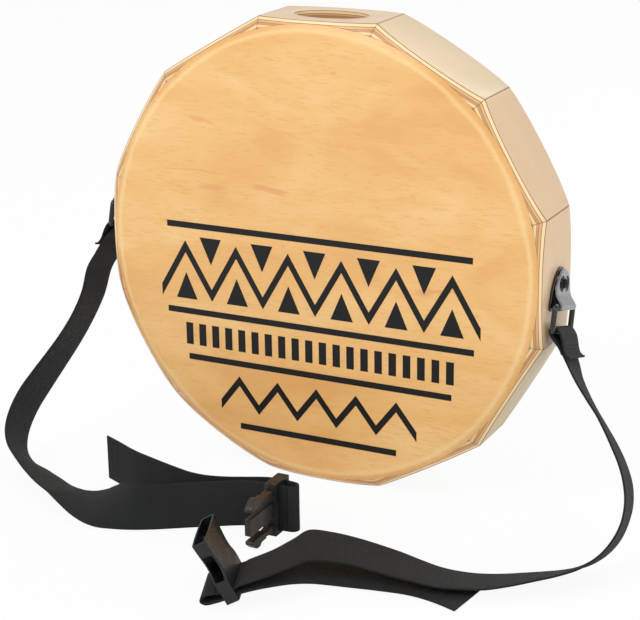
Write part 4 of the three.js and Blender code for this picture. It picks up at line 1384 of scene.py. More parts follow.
@dataclass
class Band:
    """A length of webbing along a route, with its weave's map in metres.

    Attributes:
        name: The piece's name.
        route: Points of its middle, each with the direction across it.
        spans: The steps between two points of the route.
    """

    name: str
    route: Sequence[Sequence[float]]
    half_width: float = 20 * MM
    half_thickness: float = 0.9 * MM
    spans: int = 6

    SECTION_SHARES = (
        (1.0, 0.35), (0.985, 0.8), (0.94, 1.0), (0.6, 0.96), (0.2, 0.94),
        (-0.2, 0.94), (-0.6, 0.96), (-0.94, 1.0), (-0.985, 0.8), (-1.0, 0.35),
    )

    def stations(self) -> list[tuple[Vector, Vector, Vector]]:
        """The middle, the direction across and the direction out of the face, step by step."""
        middles = Spline([Vector(row[:3]) for row in self.route])
        sides = Spline([Vector(row[3:]) for row in self.route])
        count = (len(self.route) - 1) * self.spans
        centres = [middles.at(i / self.spans) for i in range(count + 1)]
        placed = []
        for i, centre in enumerate(centres):
            along = centres[min(i + 1, count)] - centres[max(i - 1, 0)]
            across = sides.at(i / self.spans).normalized()
            placed.append((centre, across, along.cross(across).normalized()))
        return placed

    def path(self) -> list[Vector]:
        """The points of its middle line."""
        return [centre for centre, _, _ in self.stations()]

    @property
    def length(self) -> float:
        """Its length along its middle line."""
        points = self.path()
        return sum((b - a).length for a, b in zip(points, points[1:]))

    def build(self) -> Piece:
        """Lofts the section along the route.

        Returns:
            The closed band, with its weave's map.
        """
        below = [(wide, -thick) for wide, thick in reversed(self.SECTION_SHARES)]
        section = [*self.SECTION_SHARES, *below]
        sides = len(section)
        points, faces, flat = [], [], []
        gone, last = 0.0, None
        for centre, across, out in self.stations():
            gone += (centre - last).length if last else 0.0
            last = centre
            for wide, thick in section:
                offset = across * wide * self.half_width + out * thick * self.half_thickness
                points.append(centre + offset)
                flat.append((gone, wide * self.half_width))
        rings = len(points) // sides
        for i in range(rings - 1):
            for j in range(sides):
                a, b = i * sides + j, i * sides + (j + 1) % sides
                faces.append((a, b, b + sides, a + sides))
        faces.append(tuple(reversed(range(sides))))
        faces.append(tuple(range(len(points) - sides, len(points))))
        mesh = bpy.data.meshes.new(self.name)
        mesh.from_pydata(points, [], faces)
        layer = mesh.uv_layers.new(name=WEAVE_MAP)
        for loop in mesh.loops:
            layer.data[loop.index].uv = flat[loop.vertex_index]
        piece = bpy.data.objects.new(self.name, mesh)
        bpy.context.scene.collection.objects.link(piece)
        Bench.hold(piece)
        bpy.ops.object.mode_set(mode="EDIT")
        bpy.ops.mesh.select_all(action="SELECT")
        bpy.ops.mesh.normals_make_consistent(inside=False)
        bpy.ops.object.mode_set(mode="OBJECT")
        return piece


@dataclass
class Seam:
    """A row of stitches across a band.

    Attributes:
        name: The piece's name.
        band: The band that is sewn.
        places: How far along the band each row lies, as stations.
        margin: How far the rows end from the band's edges.
        cover: How much of the pitch a stitch covers.
        round_share: How round its ends are, as a share of the thread's radius.
    """

    name: str
    band: Band
    places: Sequence[int]
    margin: float = 2.5 * MM
    pitch: float = 3.2 * MM
    thread: float = 0.28 * MM
    cover: float = 0.78
    round_share: float = 0.6

    def build(self) -> Piece:
        """Lays flat stitches on both faces of the band."""
        stations = self.band.stations()
        reach = self.band.half_width - self.margin
        count = int(2 * reach / self.pitch)
        stitch = Bench.rod(self.name, self.thread, self.cover * self.pitch, (0, 0, 0), 8)
        Bench.eased(stitch, self.round_share * self.thread, 2, 40)
        copies = []
        for place in self.places:
            centre, across, out = stations[place]
            along = across.cross(out)
            for face in (-1, 1):
                height = out * face * self.band.half_thickness
                for i in range(count):
                    spot = centre + height + across * ((i + 0.5) * self.pitch - reach)
                    turn = Matrix((out, along, across)).transposed().to_4x4()
                    copies.append(Bench.copied(stitch, self.name, Matrix.Translation(spot) @ turn))
        bpy.data.objects.remove(stitch)
        return Bench.joined(copies, self.name)


@dataclass(frozen=True)
class Screw:
    """A pan-head screw with a cross recess, drawn standing with its head's seat at the origin.

    Attributes:
        upright: How much of that height is upright.
        flat: How flat the head's top is: 1 is round, and less is flatter.
        length: The shank's length with its tip.
        recess: One bar of the cross: its length, its width and twice its depth.
    """

    head: float = 4.3 * MM
    tall: float = 2.6 * MM
    upright: float = 0.35
    flat: float = 0.6
    shank: float = 1.75 * MM
    length: float = 9.7 * MM
    tip: float = 3.0 * MM
    recess: Plain = (4.6 * MM, 1.1 * MM, 2.8 * MM)

    def build(self) -> Piece:
        """Turns the screw and cuts its recess."""
        dome = []
        for i in range(9):
            angle = math.radians(5 + 9 * i)
            rise = self.upright + (1 - self.upright) * math.sin(angle)
            dome.append((self.head * math.cos(angle) ** self.flat, self.tall * rise))
        shank = [(0.3 * self.shank, -self.length), (self.shank, self.tip - self.length), (self.shank, 0)]
        profile = [(0, -self.length), *shank, (self.head, 0), *dome, (0, self.tall)]
        screw = Bench.turned("screw", [(r, 0, z) for r, z in profile], 40, (0, 0, 0), (0, 0, 1))
        long, wide, deep = self.recess
        for size in ((long, wide, deep), (wide, long, deep)):
            Bench.combine(screw, Bench.box("recess", size, (0, 0, self.tall)), Solver.CUT)
        return screw


@dataclass
class Bracket:
    """A strap bracket: plate, pressed bridge, two screws, swinging ring and sewn webbing loop.

    It is drawn flat, with X across, Y up the facet and Z away from it.

    Attributes:
        hand: The side of the drum that it is on.
        place: Where its middle lies on the facet.
        pivot: The ring's axis, in the row frame.
        swing: The ring's axis's direction.
        gap: The clearance under the plate, on it and round the ring's bar.
        sheet: The bridge's thickness.
        crown_reach: The height of the bridge's arch.
        lug: A cheek's thickness.
        inset: How far inside the hood's edge the cheeks stand.
        tuck: How far a cheek reaches into the sheet, as a share of its thickness.
        wire: The ring's wire's radius.
        ring_drop: From its top bar down to its lower bar.
        pivot_drop: How far the pivot lies below the bracket's middle.
        loop_lean: The lean of the webbing loop away from the facet, in degrees.
        cutter: The height of tools that go right through.
    """

    hand: Hand
    place: Vector
    pivot: Vector
    swing: Vector
    gap: float = 0.3 * MM
    plate_half: float = 18.5 * MM
    plate_rise: float = 29 * MM
    plate_drop: float = 7.5 * MM
    plate_corner: float = 4 * MM
    plate_thickness: float = 2 * MM
    sheet: float = 1.8 * MM
    bridge_width: float = 35 * MM
    crown_reach: float = 27.55 * MM
    well_radius: float = 6.5 * MM
    well_spacing: float = 11 * MM
    well_rise: float = 15.5 * MM
    hole_radius: float = 2.05 * MM
    lug: float = 2.2 * MM
    inset: float = 1.6 * MM
    tuck: float = 0.2
    wire: float = 2.3 * MM
    ring_half: float = 22.6 * MM
    ring_drop: float = 20.5 * MM
    ring_corner: float = 3.2 * MM
    pivot_drop: float = 2.5 * MM
    loop_lean: float = 28.0
    cutter: float = 60 * MM

    #: The bridge's outer face from its rim down to the lip of the hood, as pairs of Y and Z.
    PROFILE = (
        (27.55 * MM, 4.1 * MM),
        (23.2 * MM, 5.2 * MM),
        (7.0 * MM, 5.2 * MM),
        (-0.9 * MM, 11.7 * MM),
        (-3.5 * MM, 11.7 * MM),
        (-5.2 * MM, 10.5 * MM),
    )
    #: How much of each side of a corner its bend takes up, and the bend's steps.
    BEND = 0.45
    BEND_STEPS = 6
    #: How many corners of the profile lie above the hood.
    FLAT_CORNERS = 2
    #: The folded webbing's middle line, as pairs of a distance off the leg and one down it.
    FOLD = tuple(
        (off * MM, down * MM)
        for off, down in (
            (0.0, 19.6), (0.0, 17.5), (-0.2, 14.5), (-1.0, 11.0), (-2.3, 6.5), (-3.3, 2.0),
            (-2.6, -2.3), (0.0, -3.5), (2.7, -2.4), (4.1, 0.8), (4.7, 4.6), (4.4, 8.0),
            (3.7, 11.5), (2.9, 15.0), (2.5, 18.2), (2.8, 20.8), (3.8, 22.9), (5.4, 24.2),
        )
    )

    #: The fold's points at which the flap is sewn down.
    SEWN_ROWS = (12, 13, 14)

    @classmethod
    def from_joint(cls, hand: Hand, joint: dict[str, Any]) -> "Bracket":
        """Places a bracket by its ring's joint and its plate's box."""
        low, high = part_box(f"bracket_plate_{hand.word}")
        face = max(abs(low.x), abs(high.x)) - cls.plate_thickness - cls.gap
        made = cls(hand, Vector(), Vector(joint["pos_m"]), Vector(joint["axis"]))
        up = Vector((hand.value, 0, 0)).cross(made.across)
        place = made.pivot + cls.pivot_drop * up
        made.place = Vector((hand.value * face, place.y, place.z))
        return made

    @property
    def across(self) -> Vector:
        """The direction of the ring's axis, from the drum's front to its back on the right side."""
        axis = self.swing.normalized()
        return axis if axis.y * self.hand.value > 0 else -axis

    @property
    def base(self) -> Matrix:
        """From the flat drawing to the row frame."""
        out = Vector((self.hand.value, 0, 0))
        turn = Matrix((self.across, out.cross(self.across), out)).transposed().to_4x4()
        return Matrix.Translation(self.place) @ turn

    @property
    def hinge(self) -> Matrix:
        """From the ring's drawing, with its top bar on the X axis, to the row frame."""
        base = self.base.copy()
        base.translation = self.pivot
        return base

    @property
    def seat(self) -> float:
        """The height of what rests on the plate."""
        return self.gap + self.plate_thickness + self.gap

    @property
    def well_places(self) -> tuple[float, float]:
        """Where the two screws stand across the bracket."""
        return (-self.well_spacing / 2, self.well_spacing / 2)

    def named(self, word: str) -> str:
        """A piece's name on this side."""
        return f"{word}_{self.hand.word}"

    def plate(self) -> Piece:
        """The plate that lies on the facet: an arch above and two round corners below."""
        half, drop, bend = self.plate_half, self.plate_drop, self.plate_corner
        arch = [(half * math.cos(a), self.plate_rise * math.sin(a)) for a in self.steps(0, 180, 60)]
        turn = [
            (half - bend + bend * math.cos(a), bend - drop + bend * math.sin(a))
            for a in self.steps(270, 360, 8)
        ]
        left = [(-x, y) for x, y in reversed(turn)]
        outline = [(x, y, self.gap) for x, y in (*arch, *left, *turn)]
        plate = Bench.slab(self.named("arched_plate"), outline, (0, 0, self.plate_thickness))
        for x in self.well_places:
            spot = (x, self.well_rise, 0)
            hole = Bench.rod("hole", self.hole_radius, self.cutter, spot, HOLE_SIDES)
            Bench.combine(plate, hole, Solver.CUT)
        return Bench.eased(plate, 0.6 * MM, 3)

    @staticmethod
    def steps(first: float, last: float, count: int) -> list[float]:
        """Angles in radians from one angle in degrees to another, both included."""
        return [math.radians(first + (last - first) * i / count) for i in range(count + 1)]

    def bridge(self) -> Piece:
        """The pressed sheet that arches over the ring's top bar, with two wells for the screws."""
        outer = self.curved([Vector(pair) for pair in self.PROFILE])
        inner = [(y, max(z - self.sheet, self.seat)) for y, z in reversed(outer)]
        outline = [(-self.bridge_width / 2, y, z) for y, z in outer + inner]
        bridge = Bench.slab(self.named("pressed_bridge"), outline, (self.bridge_width, 0, 0), 12)
        radii = (self.bridge_width / 2, self.crown_reach)
        crown = Bench.rod("crown", radii, self.cutter, (0, 0, 0), ARCH_SIDES)
        size = (self.bridge_width, self.crown_reach, self.cutter)
        skirt = Bench.box("skirt", size, (0, -self.crown_reach / 2, 0))
        Bench.combine(bridge, Bench.combine(crown, skirt, Solver.JOIN), Solver.COMMON)
        for x in self.well_places:
            spot = (x, self.well_rise, 0)
            well = Bench.rod("well", self.well_radius, self.cutter, spot, WELL_SIDES)
            Bench.combine(bridge, well, Solver.CUT)
        return Bench.eased(bridge, 0.45 * MM, 3, 35)

    def cheeks(self) -> Piece:
        """The two side walls under the hood, bored for the ring's bar."""
        walls = Bench.joined([self.cheek(-1), self.cheek(1)], self.named("hood_cheeks"))
        bore = Bench.rod("bore", self.wire + self.gap, 2 * self.bridge_width, (0, 0, 0), 32)
        local = self.base.inverted() @ self.pivot
        turn = Matrix.Translation(local) @ Matrix.Rotation(math.pi / 2, 4, "Y")
        return Bench.combine(walls, Bench.placed(bore, turn), Solver.CUT)

    def curved(self, points: Sequence[Vector]) -> Pairs:
        """Rounds the inner corners of an open line of pairs."""
        soft = [tuple(points[0])]
        for before, corner, after in zip(points, points[1:], points[2:]):
            start = corner + (before - corner) * self.BEND
            end = corner + (after - corner) * self.BEND
            for k in range(self.BEND_STEPS + 1):
                t = k / self.BEND_STEPS
                soft.append(tuple((1 - t) ** 2 * start + 2 * t * (1 - t) * corner + t**2 * end))
        return [*soft, tuple(points[-1])]

    def cheek(self, side: int) -> Piece:
        """One of the two side walls, a little inside the hood's edge."""
        x = side * (self.bridge_width - self.lug - self.inset) / 2 - self.lug / 2
        hood = self.PROFILE[self.FLAT_CORNERS :]
        knee, lip = hood[0][0], hood[-1][0]
        curve = self.curved([Vector(pair) for pair in hood])
        inside = [(y, z - self.tuck * self.sheet) for y, z in curve]
        foot = ((lip, self.seat), (knee, self.seat))
        outline = [(x, y, z) for y, z in (*inside, *foot)]
        return Bench.slab("cheek", outline, (self.lug, 0, 0))

    def ring(self) -> Piece:
        """The wire ring, swept as a round section along its sides and round its corners."""
        side, drop, corner = self.ring_half - self.ring_corner, self.ring_drop, self.ring_corner
        Bench.clear()
        bpy.ops.mesh.primitive_circle_add(
            vertices=28, radius=self.wire, location=(-side, 0, 0), rotation=(0, math.pi / 2, 0)
        )
        ring = Bench.settle(self.named("wire_ring"))
        bpy.ops.object.mode_set(mode="EDIT")
        bpy.ops.mesh.select_all(action="SELECT")
        legs = (
            ((2 * side, 0, 0), (side, -corner, 0)),
            ((0, 2 * corner - drop, 0), (side, corner - drop, 0)),
            ((-2 * side, 0, 0), (-side, corner - drop, 0)),
            ((0, drop - 2 * corner, 0), (-side, -corner, 0)),
        )
        for move, centre in legs:
            bpy.ops.mesh.extrude_region_move(TRANSFORM_OT_translate={"value": move})
            bpy.ops.mesh.spin(steps=12, angle=math.pi / 2, center=centre, axis=(0, 0, 1))
        return Bench.closed(ring)

    def loop_band(self) -> Band:
        """The webbing folded round the ring's lower bar, in the row frame."""
        lean = math.radians(self.loop_lean)
        off = Vector((0, math.sin(lean), math.cos(lean)))
        down = Vector((0, -math.cos(lean), math.sin(lean)))
        bar = Vector((0, -self.ring_drop, 0))
        rows = []
        across = self.hinge.to_3x3() @ Vector((1, 0, 0))
        for away, along in self.FOLD:
            point = self.hinge @ (bar + off * away + down * along)
            rows.append((*point, *across))
        return Band(self.named("folded_webbing"), rows, spans=5)

    def build(self, metal: Coated, sheet: Coated, dark: Coated, webbing: Webbing, thread: Thread) -> None:
        """Builds the bracket, its ring and its sewn loop.

        Args:
            metal: The finish of the plate and the ring.
            sheet: The finish of the pressed bridge, grey all over as painted sheen on its black steel.
            dark: The finish of the screws and of the hood's cheeks: black steel, made darker and duller as
                painted shade in the wells and under the hood.
            webbing: The loop's finish.
            thread: The stitches' finish.
        """
        side = self.hand.word
        for piece, finish, node in (
            (self.plate(), metal, f"bracket_plate_{side}"),
            (self.bridge(), sheet, f"bracket_bridge_{side}"),
        ):
            Bench.finished(Bench.placed(piece, self.base), finish, "root", [node], 40)
        # The cheeks' near-black dull finish is painted shade under the hood.
        Bench.finished(Bench.placed(self.cheeks(), self.base), dark, "root", smooth=40)
        screw = Screw().build()
        for x, letter in zip(self.well_places, "ab"):
            spot = self.base @ Matrix.Translation((x, self.well_rise, self.seat))
            twin = Bench.copied(screw, f"cross_screw_{side}_{letter}", spot)
            Bench.finished(twin, dark, "root", [f"bracket_screw_{side}_{letter}"], 40)
        bpy.data.objects.remove(screw)
        ring = Bench.placed(self.ring(), self.hinge)
        Bench.finished(ring, metal, f"ring_{side}", [f"strap_ring_{side}"], 60)
        band = self.loop_band()
        Bench.finished(band.build(), webbing, f"ring_{side}", [f"webbing_loop_{side}"], 60)
        sewn = [band.spans * row for row in self.SEWN_ROWS]
        seam = Seam(f"loop_stitches_{side}", band, sewn).build()
        Bench.finished(seam, thread, f"ring_{side}", smooth=60)


@dataclass
class Strap:
    """One half of the shoulder strap: the band from the ring to the buckle, and its free tail.

    Attributes:
        hand: The side that it hangs from.
        main: The route from the ring's loop to the buckle.
        tail: The route from the buckle's bar to the hem.
        fixed_height: The height above which the band is meant to follow the ring. Not used.
        hem_rows: Where the hem's stitches lie, as stations from the tail's end.
        overlap: How far the band reaches back to meet the ring's sewn loop.
    """

    hand: Hand
    main: Route
    tail: Route
    fixed_height: float
    hem_rows: tuple[int, ...] = (2, 5, 17)
    overlap: float = 0.35 * MM

    def build_main(self, webbing: Webbing) -> None:
        """Builds the band from the ring to the buckle, and logs its length.

        Args:
            webbing: The webbing's finish.
        """
        side = self.hand.word
        first, second = (Vector(row[:3]) for row in self.main[:2])
        met = first + (first - second).normalized() * self.overlap
        band = Band(f"webbing_{side}", ((*met, *self.main[0][3:]), *self.main[1:]))
        piece = Bench.finished(band.build(), webbing, None, [f"strap_{side}"], 60)
        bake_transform(piece)
        band.length
        [tuple(point) for point in band.path()]
        log.info("%s: %.0f mm long", piece.name, band.length / MM)

    def build(self, webbing: Webbing, thread: Thread, parts: Sequence[str]) -> None:
        """Builds the tail with its hem, and then the band that carries them.

        Args:
            webbing: The webbing's finish.
            thread: The stitches' finish.
            parts: The buckle's pieces at the band's far end. Not used.
        """
        side = self.hand.word
        tail = Band(f"webbing_{side}_tail", self.tail)
        piece = Bench.finished(tail.build(), webbing, "root", [f"strap_{side}_tail"], 60)
        log.info("%s: %.0f mm long", piece.name, tail.length / MM)
        last = (len(self.tail) - 1) * tail.spans
        rows = [last - row for row in self.hem_rows]
        hem = Seam(f"hem_stitches_{side}", tail, rows).build()
        Bench.finished(hem, thread, "root", smooth=60)
        self.build_main(webbing)


@dataclass
class Plug:
    """The buckle's plug: a frame with two slots, a guide tongue and two springing prongs.

    Attributes:
        low: The frame's lowest corner, in the row frame.
        size: The whole size of its frame.
        bar: The thickness of the bars between and before the slots.
        back_bar: The thickness of the grip bar at the back.
        root: The radius of a prong's root.
        barb: How far its barb stands out.
        guide: The tongue's thickness, length and width.
        groove_rise: How far a groove's middle lies off the bar's face.
    """

    low: Vector
    size: Vector
    bar: float = 5 * MM
    back_bar: float = 3 * MM
    slot: float = 5.5 * MM
    slot_width: float = 41 * MM
    root: float = 3 * MM
    reach: float = 33 * MM
    barb: float = 5 * MM
    prong: float = 7 * MM
    guide: Plain = (5 * MM, 38 * MM, 14 * MM)
    groove: float = 0.7 * MM
    groove_step: float = 4 * MM
    groove_rise: float = 0.25 * MM

    #: The prong's free end, as shares of its reach, of its root's radius and of its barb.
    NOSE = (
        (0.3, -1, 0), (1, -1, 0), (1, 0, 0), (0.78, 1, 0.5), (0.62, 1, 0.55), (0.55, 1, 0), (0.3, 1, 0),
    )

    @classmethod
    def from_frame(cls) -> "Plug":
        """Takes the frame's place and size from its node, which has its back to the drum."""
        low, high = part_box("buckle_plug")
        guide = cls.guide[1]
        size = high - low
        return cls(low + Vector((0, guide, 0)), size - Vector((0, guide, 0)))

    def frame(self) -> Piece:
        """The frame with its slots, its guide tongue and the grooves in its grip bar."""
        middle = self.low + self.size / 2
        frame = Bench.box("plug_frame", self.size, middle)
        back = self.low.y + self.size.y
        for i in range(2):
            y = back - self.back_bar - self.slot / 2 - i * (self.bar + self.slot)
            size = (2 * self.size.x, self.slot, self.slot_width)
            Bench.combine(frame, Bench.box("slot", size, (middle.x, y, middle.z)), Solver.CUT)
        thick, long, wide = self.guide
        place = (middle.x, self.low.y - long / 2 + self.bar / 4, middle.z)
        tongue = Bench.box("tongue", (thick, long + self.bar / 2, wide), place)
        Bench.combine(frame, tongue, Solver.JOIN)
        off = self.size.x / 2 + self.groove_rise
        lying = Matrix.Rotation(math.pi / 2, 4, "X")
        for i in range(9):
            z = middle.z + (i - 4) * self.groove_step
            for face in (-1, 1):
                groove = Bench.rod("groove", self.groove, 2 * self.back_bar, (0, 0, 0), 12)
                spot = Vector((middle.x + face * off, back - self.back_bar / 2, z))
                Bench.combine(frame, Bench.placed(groove, Matrix.Translation(spot) @ lying), Solver.CUT)
        return Bench.eased(frame, 1.3 * MM, 4)

    def prong_outline(self) -> list[Vector]:
        """The prong's outline, X towards its tip and Y outwards."""
        turn = [math.radians(90 + 15 * i) for i in range(13)]
        heel = [(self.root * math.cos(a), self.root * math.sin(a)) for a in turn]
        corners = [(a * self.reach, b * self.root + c * self.barb) for a, b, c in self.NOSE]
        nose = soft_corners(corners, 1.4 * MM, 4)
        return [Vector(point) for point in heel] + nose

    def prong_piece(self, name: str, joint: dict[str, Any], side: int) -> Piece:
        """One prong at its joint.

        Args:
            name: The piece's name.
            joint: The joint that it flexes on.
            side: 1 for the upper prong and -1 for the lower.

        Returns:
            The prong.
        """
        outline = [(x, y, -self.prong / 2) for x, y in self.prong_outline()]
        prong = Bench.slab(name, outline, (0, 0, self.prong))
        Bench.eased(prong, 0.8 * MM, 3)
        forward, outward = Vector((0, -1, 0)), Vector((0, 0, side))
        turn = Matrix((forward, outward, forward.cross(outward))).transposed().to_4x4()
        return Bench.placed(prong, Matrix.Translation(joint["pos_m"]) @ turn)

    def build(self, finish: Plastic, worn: Plastic, joints: dict[str, dict[str, Any]]) -> None:
        """Builds the frame, and both prongs in a brown-tinged plastic whose tint is a painted reflection of
        the drum's wood.
        """
        Bench.finished(self.frame(), finish, "root", ["buckle_plug"])
        for word, side in (("upper", 1), ("lower", -1)):
            piece = self.prong_piece(f"barbed_prong_{word}", joints[f"prong_{word}_flex"], side)
            Bench.finished(piece, worn, f"prong_{word}", [f"buckle_prong_{word}"])


@dataclass
class Socket:
    """The buckle's socket, drawn standing on its webbing bar: Y across, Z towards the mouth.

    Attributes:
        place: Where the middle of its end lies, in the row frame.
        turn: Its turns about its own X, Y and Z, in degrees.
        bulge: How much thinner it is at its sides, as a share.
        window_rise: From its end to a side window.
        overrun: How far the hollow's tool passes the mouth.
    """

    place: Plain = (43.3 * MM, -259.4 * MM, 7.2 * MM)
    turn: Plain = (12.0, -24.2, 23.1)
    length: float = 54 * MM
    half_width: float = 23 * MM
    half_thickness: float = 6.1 * MM
    bulge: float = 0.12
    corner: float = 1.1 * MM
    wall: float = 1.3 * MM
    bar: float = 2.2 * MM
    slot: float = 3.2 * MM
    slot_width: float = 41 * MM
    window_rise: float = 19.5 * MM
    window: float = 22 * MM
    window_corner: float = 1.6 * MM
    overrun: float = 5 * MM
    rings: int = 54

    #: Half the width at a height, as shares of the full half width and of the length.
    WAIST_SHARES = (
        (0.0, 0.97), (0.2, 0.97), (0.235, 1.0), (0.36, 0.99), (0.42, 0.945), (0.48, 0.88), (0.54, 0.845),
        (0.6, 0.84), (0.68, 0.86), (0.78, 0.915), (0.88, 0.965), (0.95, 0.99), (1.0, 1.0),
    )

    @property
    def base(self) -> float:
        """Where the hollow starts, above both slots."""
        return 3 * self.bar + 2 * self.slot

    def half_at(self, z: float) -> float:
        """Half the width at a height: full at the bar, drawn in at the windows, full at the mouth."""
        spots = self.WAIST_SHARES
        for (low, first), (high, last) in zip(spots, spots[1:]):
            if z <= high * self.length:
                share = (z / self.length - low) / (high - low)
                return self.half_width * (first + (last - first) * share)
        return self.half_width * spots[-1][1]

    def section(self, inset: float) -> Pairs:
        """A section with flat narrow sides, gently bulged wide sides and small round corners."""
        half, wide = self.half_thickness - inset, self.half_width - inset
        corner = max(self.corner - inset, 0.3 * MM)
        right = []
        for i in range(17):
            y = (wide - corner) * (2 * i / 16 - 1)
            right.append((half * (1 - self.bulge * (y / wide) ** 2), y))
        edge = half * (1 - self.bulge)
        turns = [math.radians(15 * k) for k in range(1, 7)]
        x, y = edge - corner, wide - corner
        top = [(x + corner * math.cos(a), y + corner * math.sin(a)) for a in turns]
        upper = [*[pair for pair in right if pair[1] >= 0], *top]
        return [
            *upper,
            *[(-x, y) for x, y in reversed(upper) if x > 0],
            *[(-x, -y) for x, y in upper if y > 0],
            *[(x, -y) for x, y in reversed(upper) if y > 0 and x > 0],
        ]

    def shaped(self, name: str, inset: float, bottom: float, top: float) -> Piece:
        """A rod of the section between two heights, drawn in at the waist.

        Args:
            name: The piece's name.
            inset: How much smaller than the outside it is.
            bottom: Its lower end.
            top: Its upper end.

        Returns:
            The rod.
        """
        outline = [(x, y, bottom) for x, y in self.section(inset)]
        rod = Bench.slab(name, outline, (0, 0, top - bottom), self.rings)

        def drawn_in(point: Vector) -> Vector:
            """Draws a point in at its height."""
            share = (self.half_at(min(point.z, self.length)) - inset) / (self.half_width - inset)
            return Vector((point.x, point.y * share, point.z))

        return Bench.reshaped(rod, drawn_in)

    def build(self, finish: Plastic) -> None:
        """Shapes the body, hollows it and cuts its windows and slots."""
        body = self.shaped("socket_shell", 0.0, 0.0, self.length)
        well = self.shaped("well", self.wall, self.base, self.length + self.overrun)
        Bench.combine(body, well, Solver.CUT)
        for i in range(2):
            z = self.bar + self.slot / 2 + i * (self.bar + self.slot)
            size = (4 * self.half_thickness, self.slot_width, self.slot)
            Bench.combine(body, Bench.box("slot", size, (0, 0, z)), Solver.CUT)
        clear = self.half_thickness * (1 - self.bulge) - self.wall
        middle, half = self.window_rise + self.window / 2, self.window / 2
        corners = [(-clear, -half), (clear, -half), (clear, half), (-clear, half)]
        soft = soft_corners(corners, self.window_corner, 4)
        outline = [(p.x, -2 * self.half_width, middle + p.y) for p in soft]
        opening = Bench.slab("opening", outline, (0, 4 * self.half_width, 0))
        Bench.combine(body, opening, Solver.CUT)
        Bench.eased(body, 0.42 * MM, 2, 35)
        spin = Matrix.Identity(4)
        for angle, axis in zip(self.turn, "XYZ"):
            spin = spin @ Matrix.Rotation(math.radians(angle), 4, axis)
        piece = Bench.placed(body, Matrix.Translation(self.place) @ spin)
        Bench.finished(piece, finish, "root", ["buckle_socket"], 35)


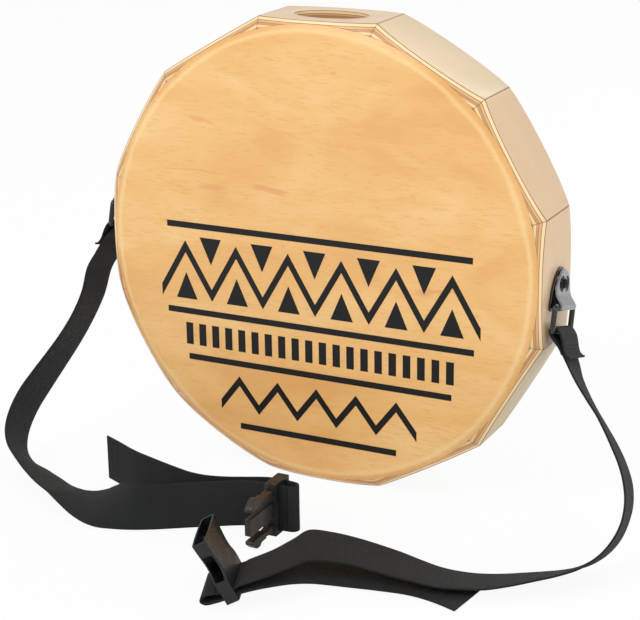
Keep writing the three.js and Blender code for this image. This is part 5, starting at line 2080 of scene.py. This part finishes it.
@dataclass
class Studio:
    """The pale floor, the soft lamps and the camera at the photograph's angle.

    Attributes:
        azimuth: The angle in degrees from which it looks, round from the front.
        elevation: How far above the horizon it looks from, in degrees.
        lens: Its focal length in millimetres on a sensor 36 mm wide.
        aim: What the lamps face.
        floor_drop: How far the floor lies under the object.
        world_light: The strength of the even light.
        floor_glow: How much of the floor's look, as the camera sees it, is plain white.
    """

    camera_place: Plain = (0.6692, -1.3500, 0.6450)
    azimuth: float = 26.86
    elevation: float = 18.36
    roll: float = -0.80
    lens: float = 103.5
    sensor: float = 36
    aim: Plain = (0, 0, 0.18)
    floor_size: float = 14.0
    floor_drop: float = 0.5 * MM
    floor_grey: float = 0.86
    world_light: float = 0.62
    floor_glow: float = 0.93

    #: Each lamp's name, place, side and power in watts.
    LAMPS = (
        ("key", (-0.9, -2.0, 2.3), 1.6, 34),
        ("fill", (2.2, -1.4, 1.4), 1.8, 15),
        ("rim", (0.9, 1.8, 2.0), 1.4, 16),
    )

    def build(self) -> None:
        """Sets up everything that isn't part of the object."""
        bpy.context.scene.view_settings.view_transform = "Standard"
        self.build_camera()
        self.build_world()
        self.build_floor()
        for lamp in self.LAMPS:
            self.lamp(*lamp)

    def build_camera(self) -> None:
        """Adds the camera from its place and its three angles."""
        turn, tilt, roll = (math.radians(a) for a in (self.azimuth, self.elevation, self.roll))
        flat = math.cos(tilt)
        back = Vector((math.sin(turn) * flat, -math.cos(turn) * flat, math.sin(tilt)))
        level = Vector((math.cos(turn), math.sin(turn), 0))
        above = back.cross(level)
        right = math.cos(roll) * level + math.sin(roll) * above
        up = math.cos(roll) * above - math.sin(roll) * level
        data = bpy.data.cameras.new("camera")
        data.lens = self.lens
        data.sensor_width = self.sensor
        camera = bpy.data.objects.new("camera", data)
        bpy.context.scene.collection.objects.link(camera)
        turned = Matrix((right, up, back)).transposed().to_4x4()
        camera.matrix_world = Matrix.Translation(self.camera_place) @ turned
        bpy.context.scene.camera = camera

    def build_world(self) -> None:
        """Lights the scene evenly, and shows white where the camera sees past the floor."""
        world = bpy.data.worlds.new("studio")
        bpy.context.scene.world = world
        world.use_nodes = True
        graph = Graph(world.node_tree)
        path = graph.node("LightPath").outputs
        seen = graph.math("MAXIMUM", path["Is Camera Ray"], path["Is Transmission Ray"])
        strength = graph.node("Mix", data_type="FLOAT")
        graph.feed(strength.inputs[0], seen)
        graph.feed(strength.inputs[2], self.world_light)
        graph.feed(strength.inputs[3], 1.0)
        light = graph.node("Background", {"Color": (1, 1, 1, 1), "Strength": strength.outputs[0]})
        graph.node("OutputWorld", {"Surface": light.outputs[0]})

    def build_floor(self) -> None:
        """Lays a pale floor just under the object, half glowing so that it stays pale."""
        Bench.clear()
        bpy.ops.mesh.primitive_plane_add(size=self.floor_size, location=(0, 0, -self.floor_drop))
        floor = Bench.settle("floor")
        made = bpy.data.materials.new("pale_floor")
        made.use_nodes = True
        graph = Graph(made.node_tree)
        grey = (self.floor_grey, self.floor_grey, self.floor_grey, 1)
        matt = graph.node("BsdfDiffuse", {"Color": grey})
        glow = graph.node("Emission", {"Color": (1, 1, 1, 1), "Strength": 1.0})
        camera = graph.node("LightPath").outputs["Is Camera Ray"]
        seen = graph.math("MULTIPLY", camera, self.floor_glow)
        both = graph.node("MixShader", {0: seen, 1: matt.outputs[0], 2: glow.outputs[0]})
        graph.node("OutputMaterial", {"Surface": both.outputs[0]})
        floor.data.materials.append(made)

    def lamp(self, name: str, place: Plain, size: float, power: float) -> None:
        """Adds a soft square lamp that faces the drum.

        Args:
            name: Its name.
            place: Where it hangs.
            size: Its side.
            power: Its power in watts.
        """
        data = bpy.data.lights.new(name, "AREA")
        data.shape = "SQUARE"
        data.size = size
        data.energy = power
        lamp = bpy.data.objects.new(name, data)
        bpy.context.scene.collection.objects.link(lamp)
        lamp.location = place
        aim = Vector(self.aim) - Vector(place)
        lamp.rotation_euler = aim.to_track_quat("-Z", "Y").to_euler()


def main() -> None:
    """Loads the frame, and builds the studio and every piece."""
    logging.basicConfig(level=logging.INFO, format="%(name)s: %(message)s")
    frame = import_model()
    joints = {joint["name"]: joint for joint in frame["joints"]}
    Studio().build()
    metal = Coated(
        "gloss_black_steel", Slot.METAL, (15, 15, 17), (36, 36, 40), gloss=0.16, metallic=0.2, coat=0.6
    )
    # Black steel, darkened and dulled past its own colour as painted shade for the screws in their wells and
    # the cheeks under the hood.
    dark = Coated(
        "dull_black_steel", Slot.METAL, (10, 10, 11), (24, 24, 26), gloss=0.5, metallic=0.0, specular=0.15
    )
    # The bridge is black steel: its grey tone and lighter rubbed colour are painted sheen.
    sheet = Coated(
        "pressed_black_steel", Slot.METAL, (126, 127, 132), (150, 151, 156), gloss=0.28, coat=0.6
    )
    webbing = Webbing("black_webbing", Slot.WEBBING)
    thread = Thread("waxed_thread", Slot.WEBBING)
    plastic = Plastic("moulded_plastic", Slot.PLASTIC)
    # Black plastic tinted brown: a painted reflection of the drum's wood.
    worn = Plastic("worn_plastic", Slot.PLASTIC, (46, 39, 35), (58, 47, 40))
    cool = Plastic("socket_plastic", Slot.PLASTIC, (20, 25, 30), (24, 28, 33), gloss=0.24)
    Plug.from_frame().build(plastic, worn, joints)
    Socket().build(cool)
    plug_parts = ("plug_frame", "barbed_prong_upper", "barbed_prong_lower")
    Strap(Hand.LEFT, STRAP_LEFT, STRAP_LEFT_TAIL, 50 * MM).build(webbing, thread, plug_parts)
    Strap(Hand.RIGHT, STRAP_RIGHT, STRAP_RIGHT_TAIL, 47 * MM).build(webbing, thread, ("socket_shell",))
    for hand in Hand:
        bracket = Bracket.from_joint(hand, joints[f"ring_swing_{hand.word}"])
        bracket.build(metal, sheet, dark, webbing, thread)
    drum = Drum.from_frame()
    drum.build()
    Frieze(face=-drum.half_depth).build(Print("screen_ink", Slot.BIRCH))
    dress_snare_unit()
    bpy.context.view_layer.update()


if __name__ == "__main__":
    main()
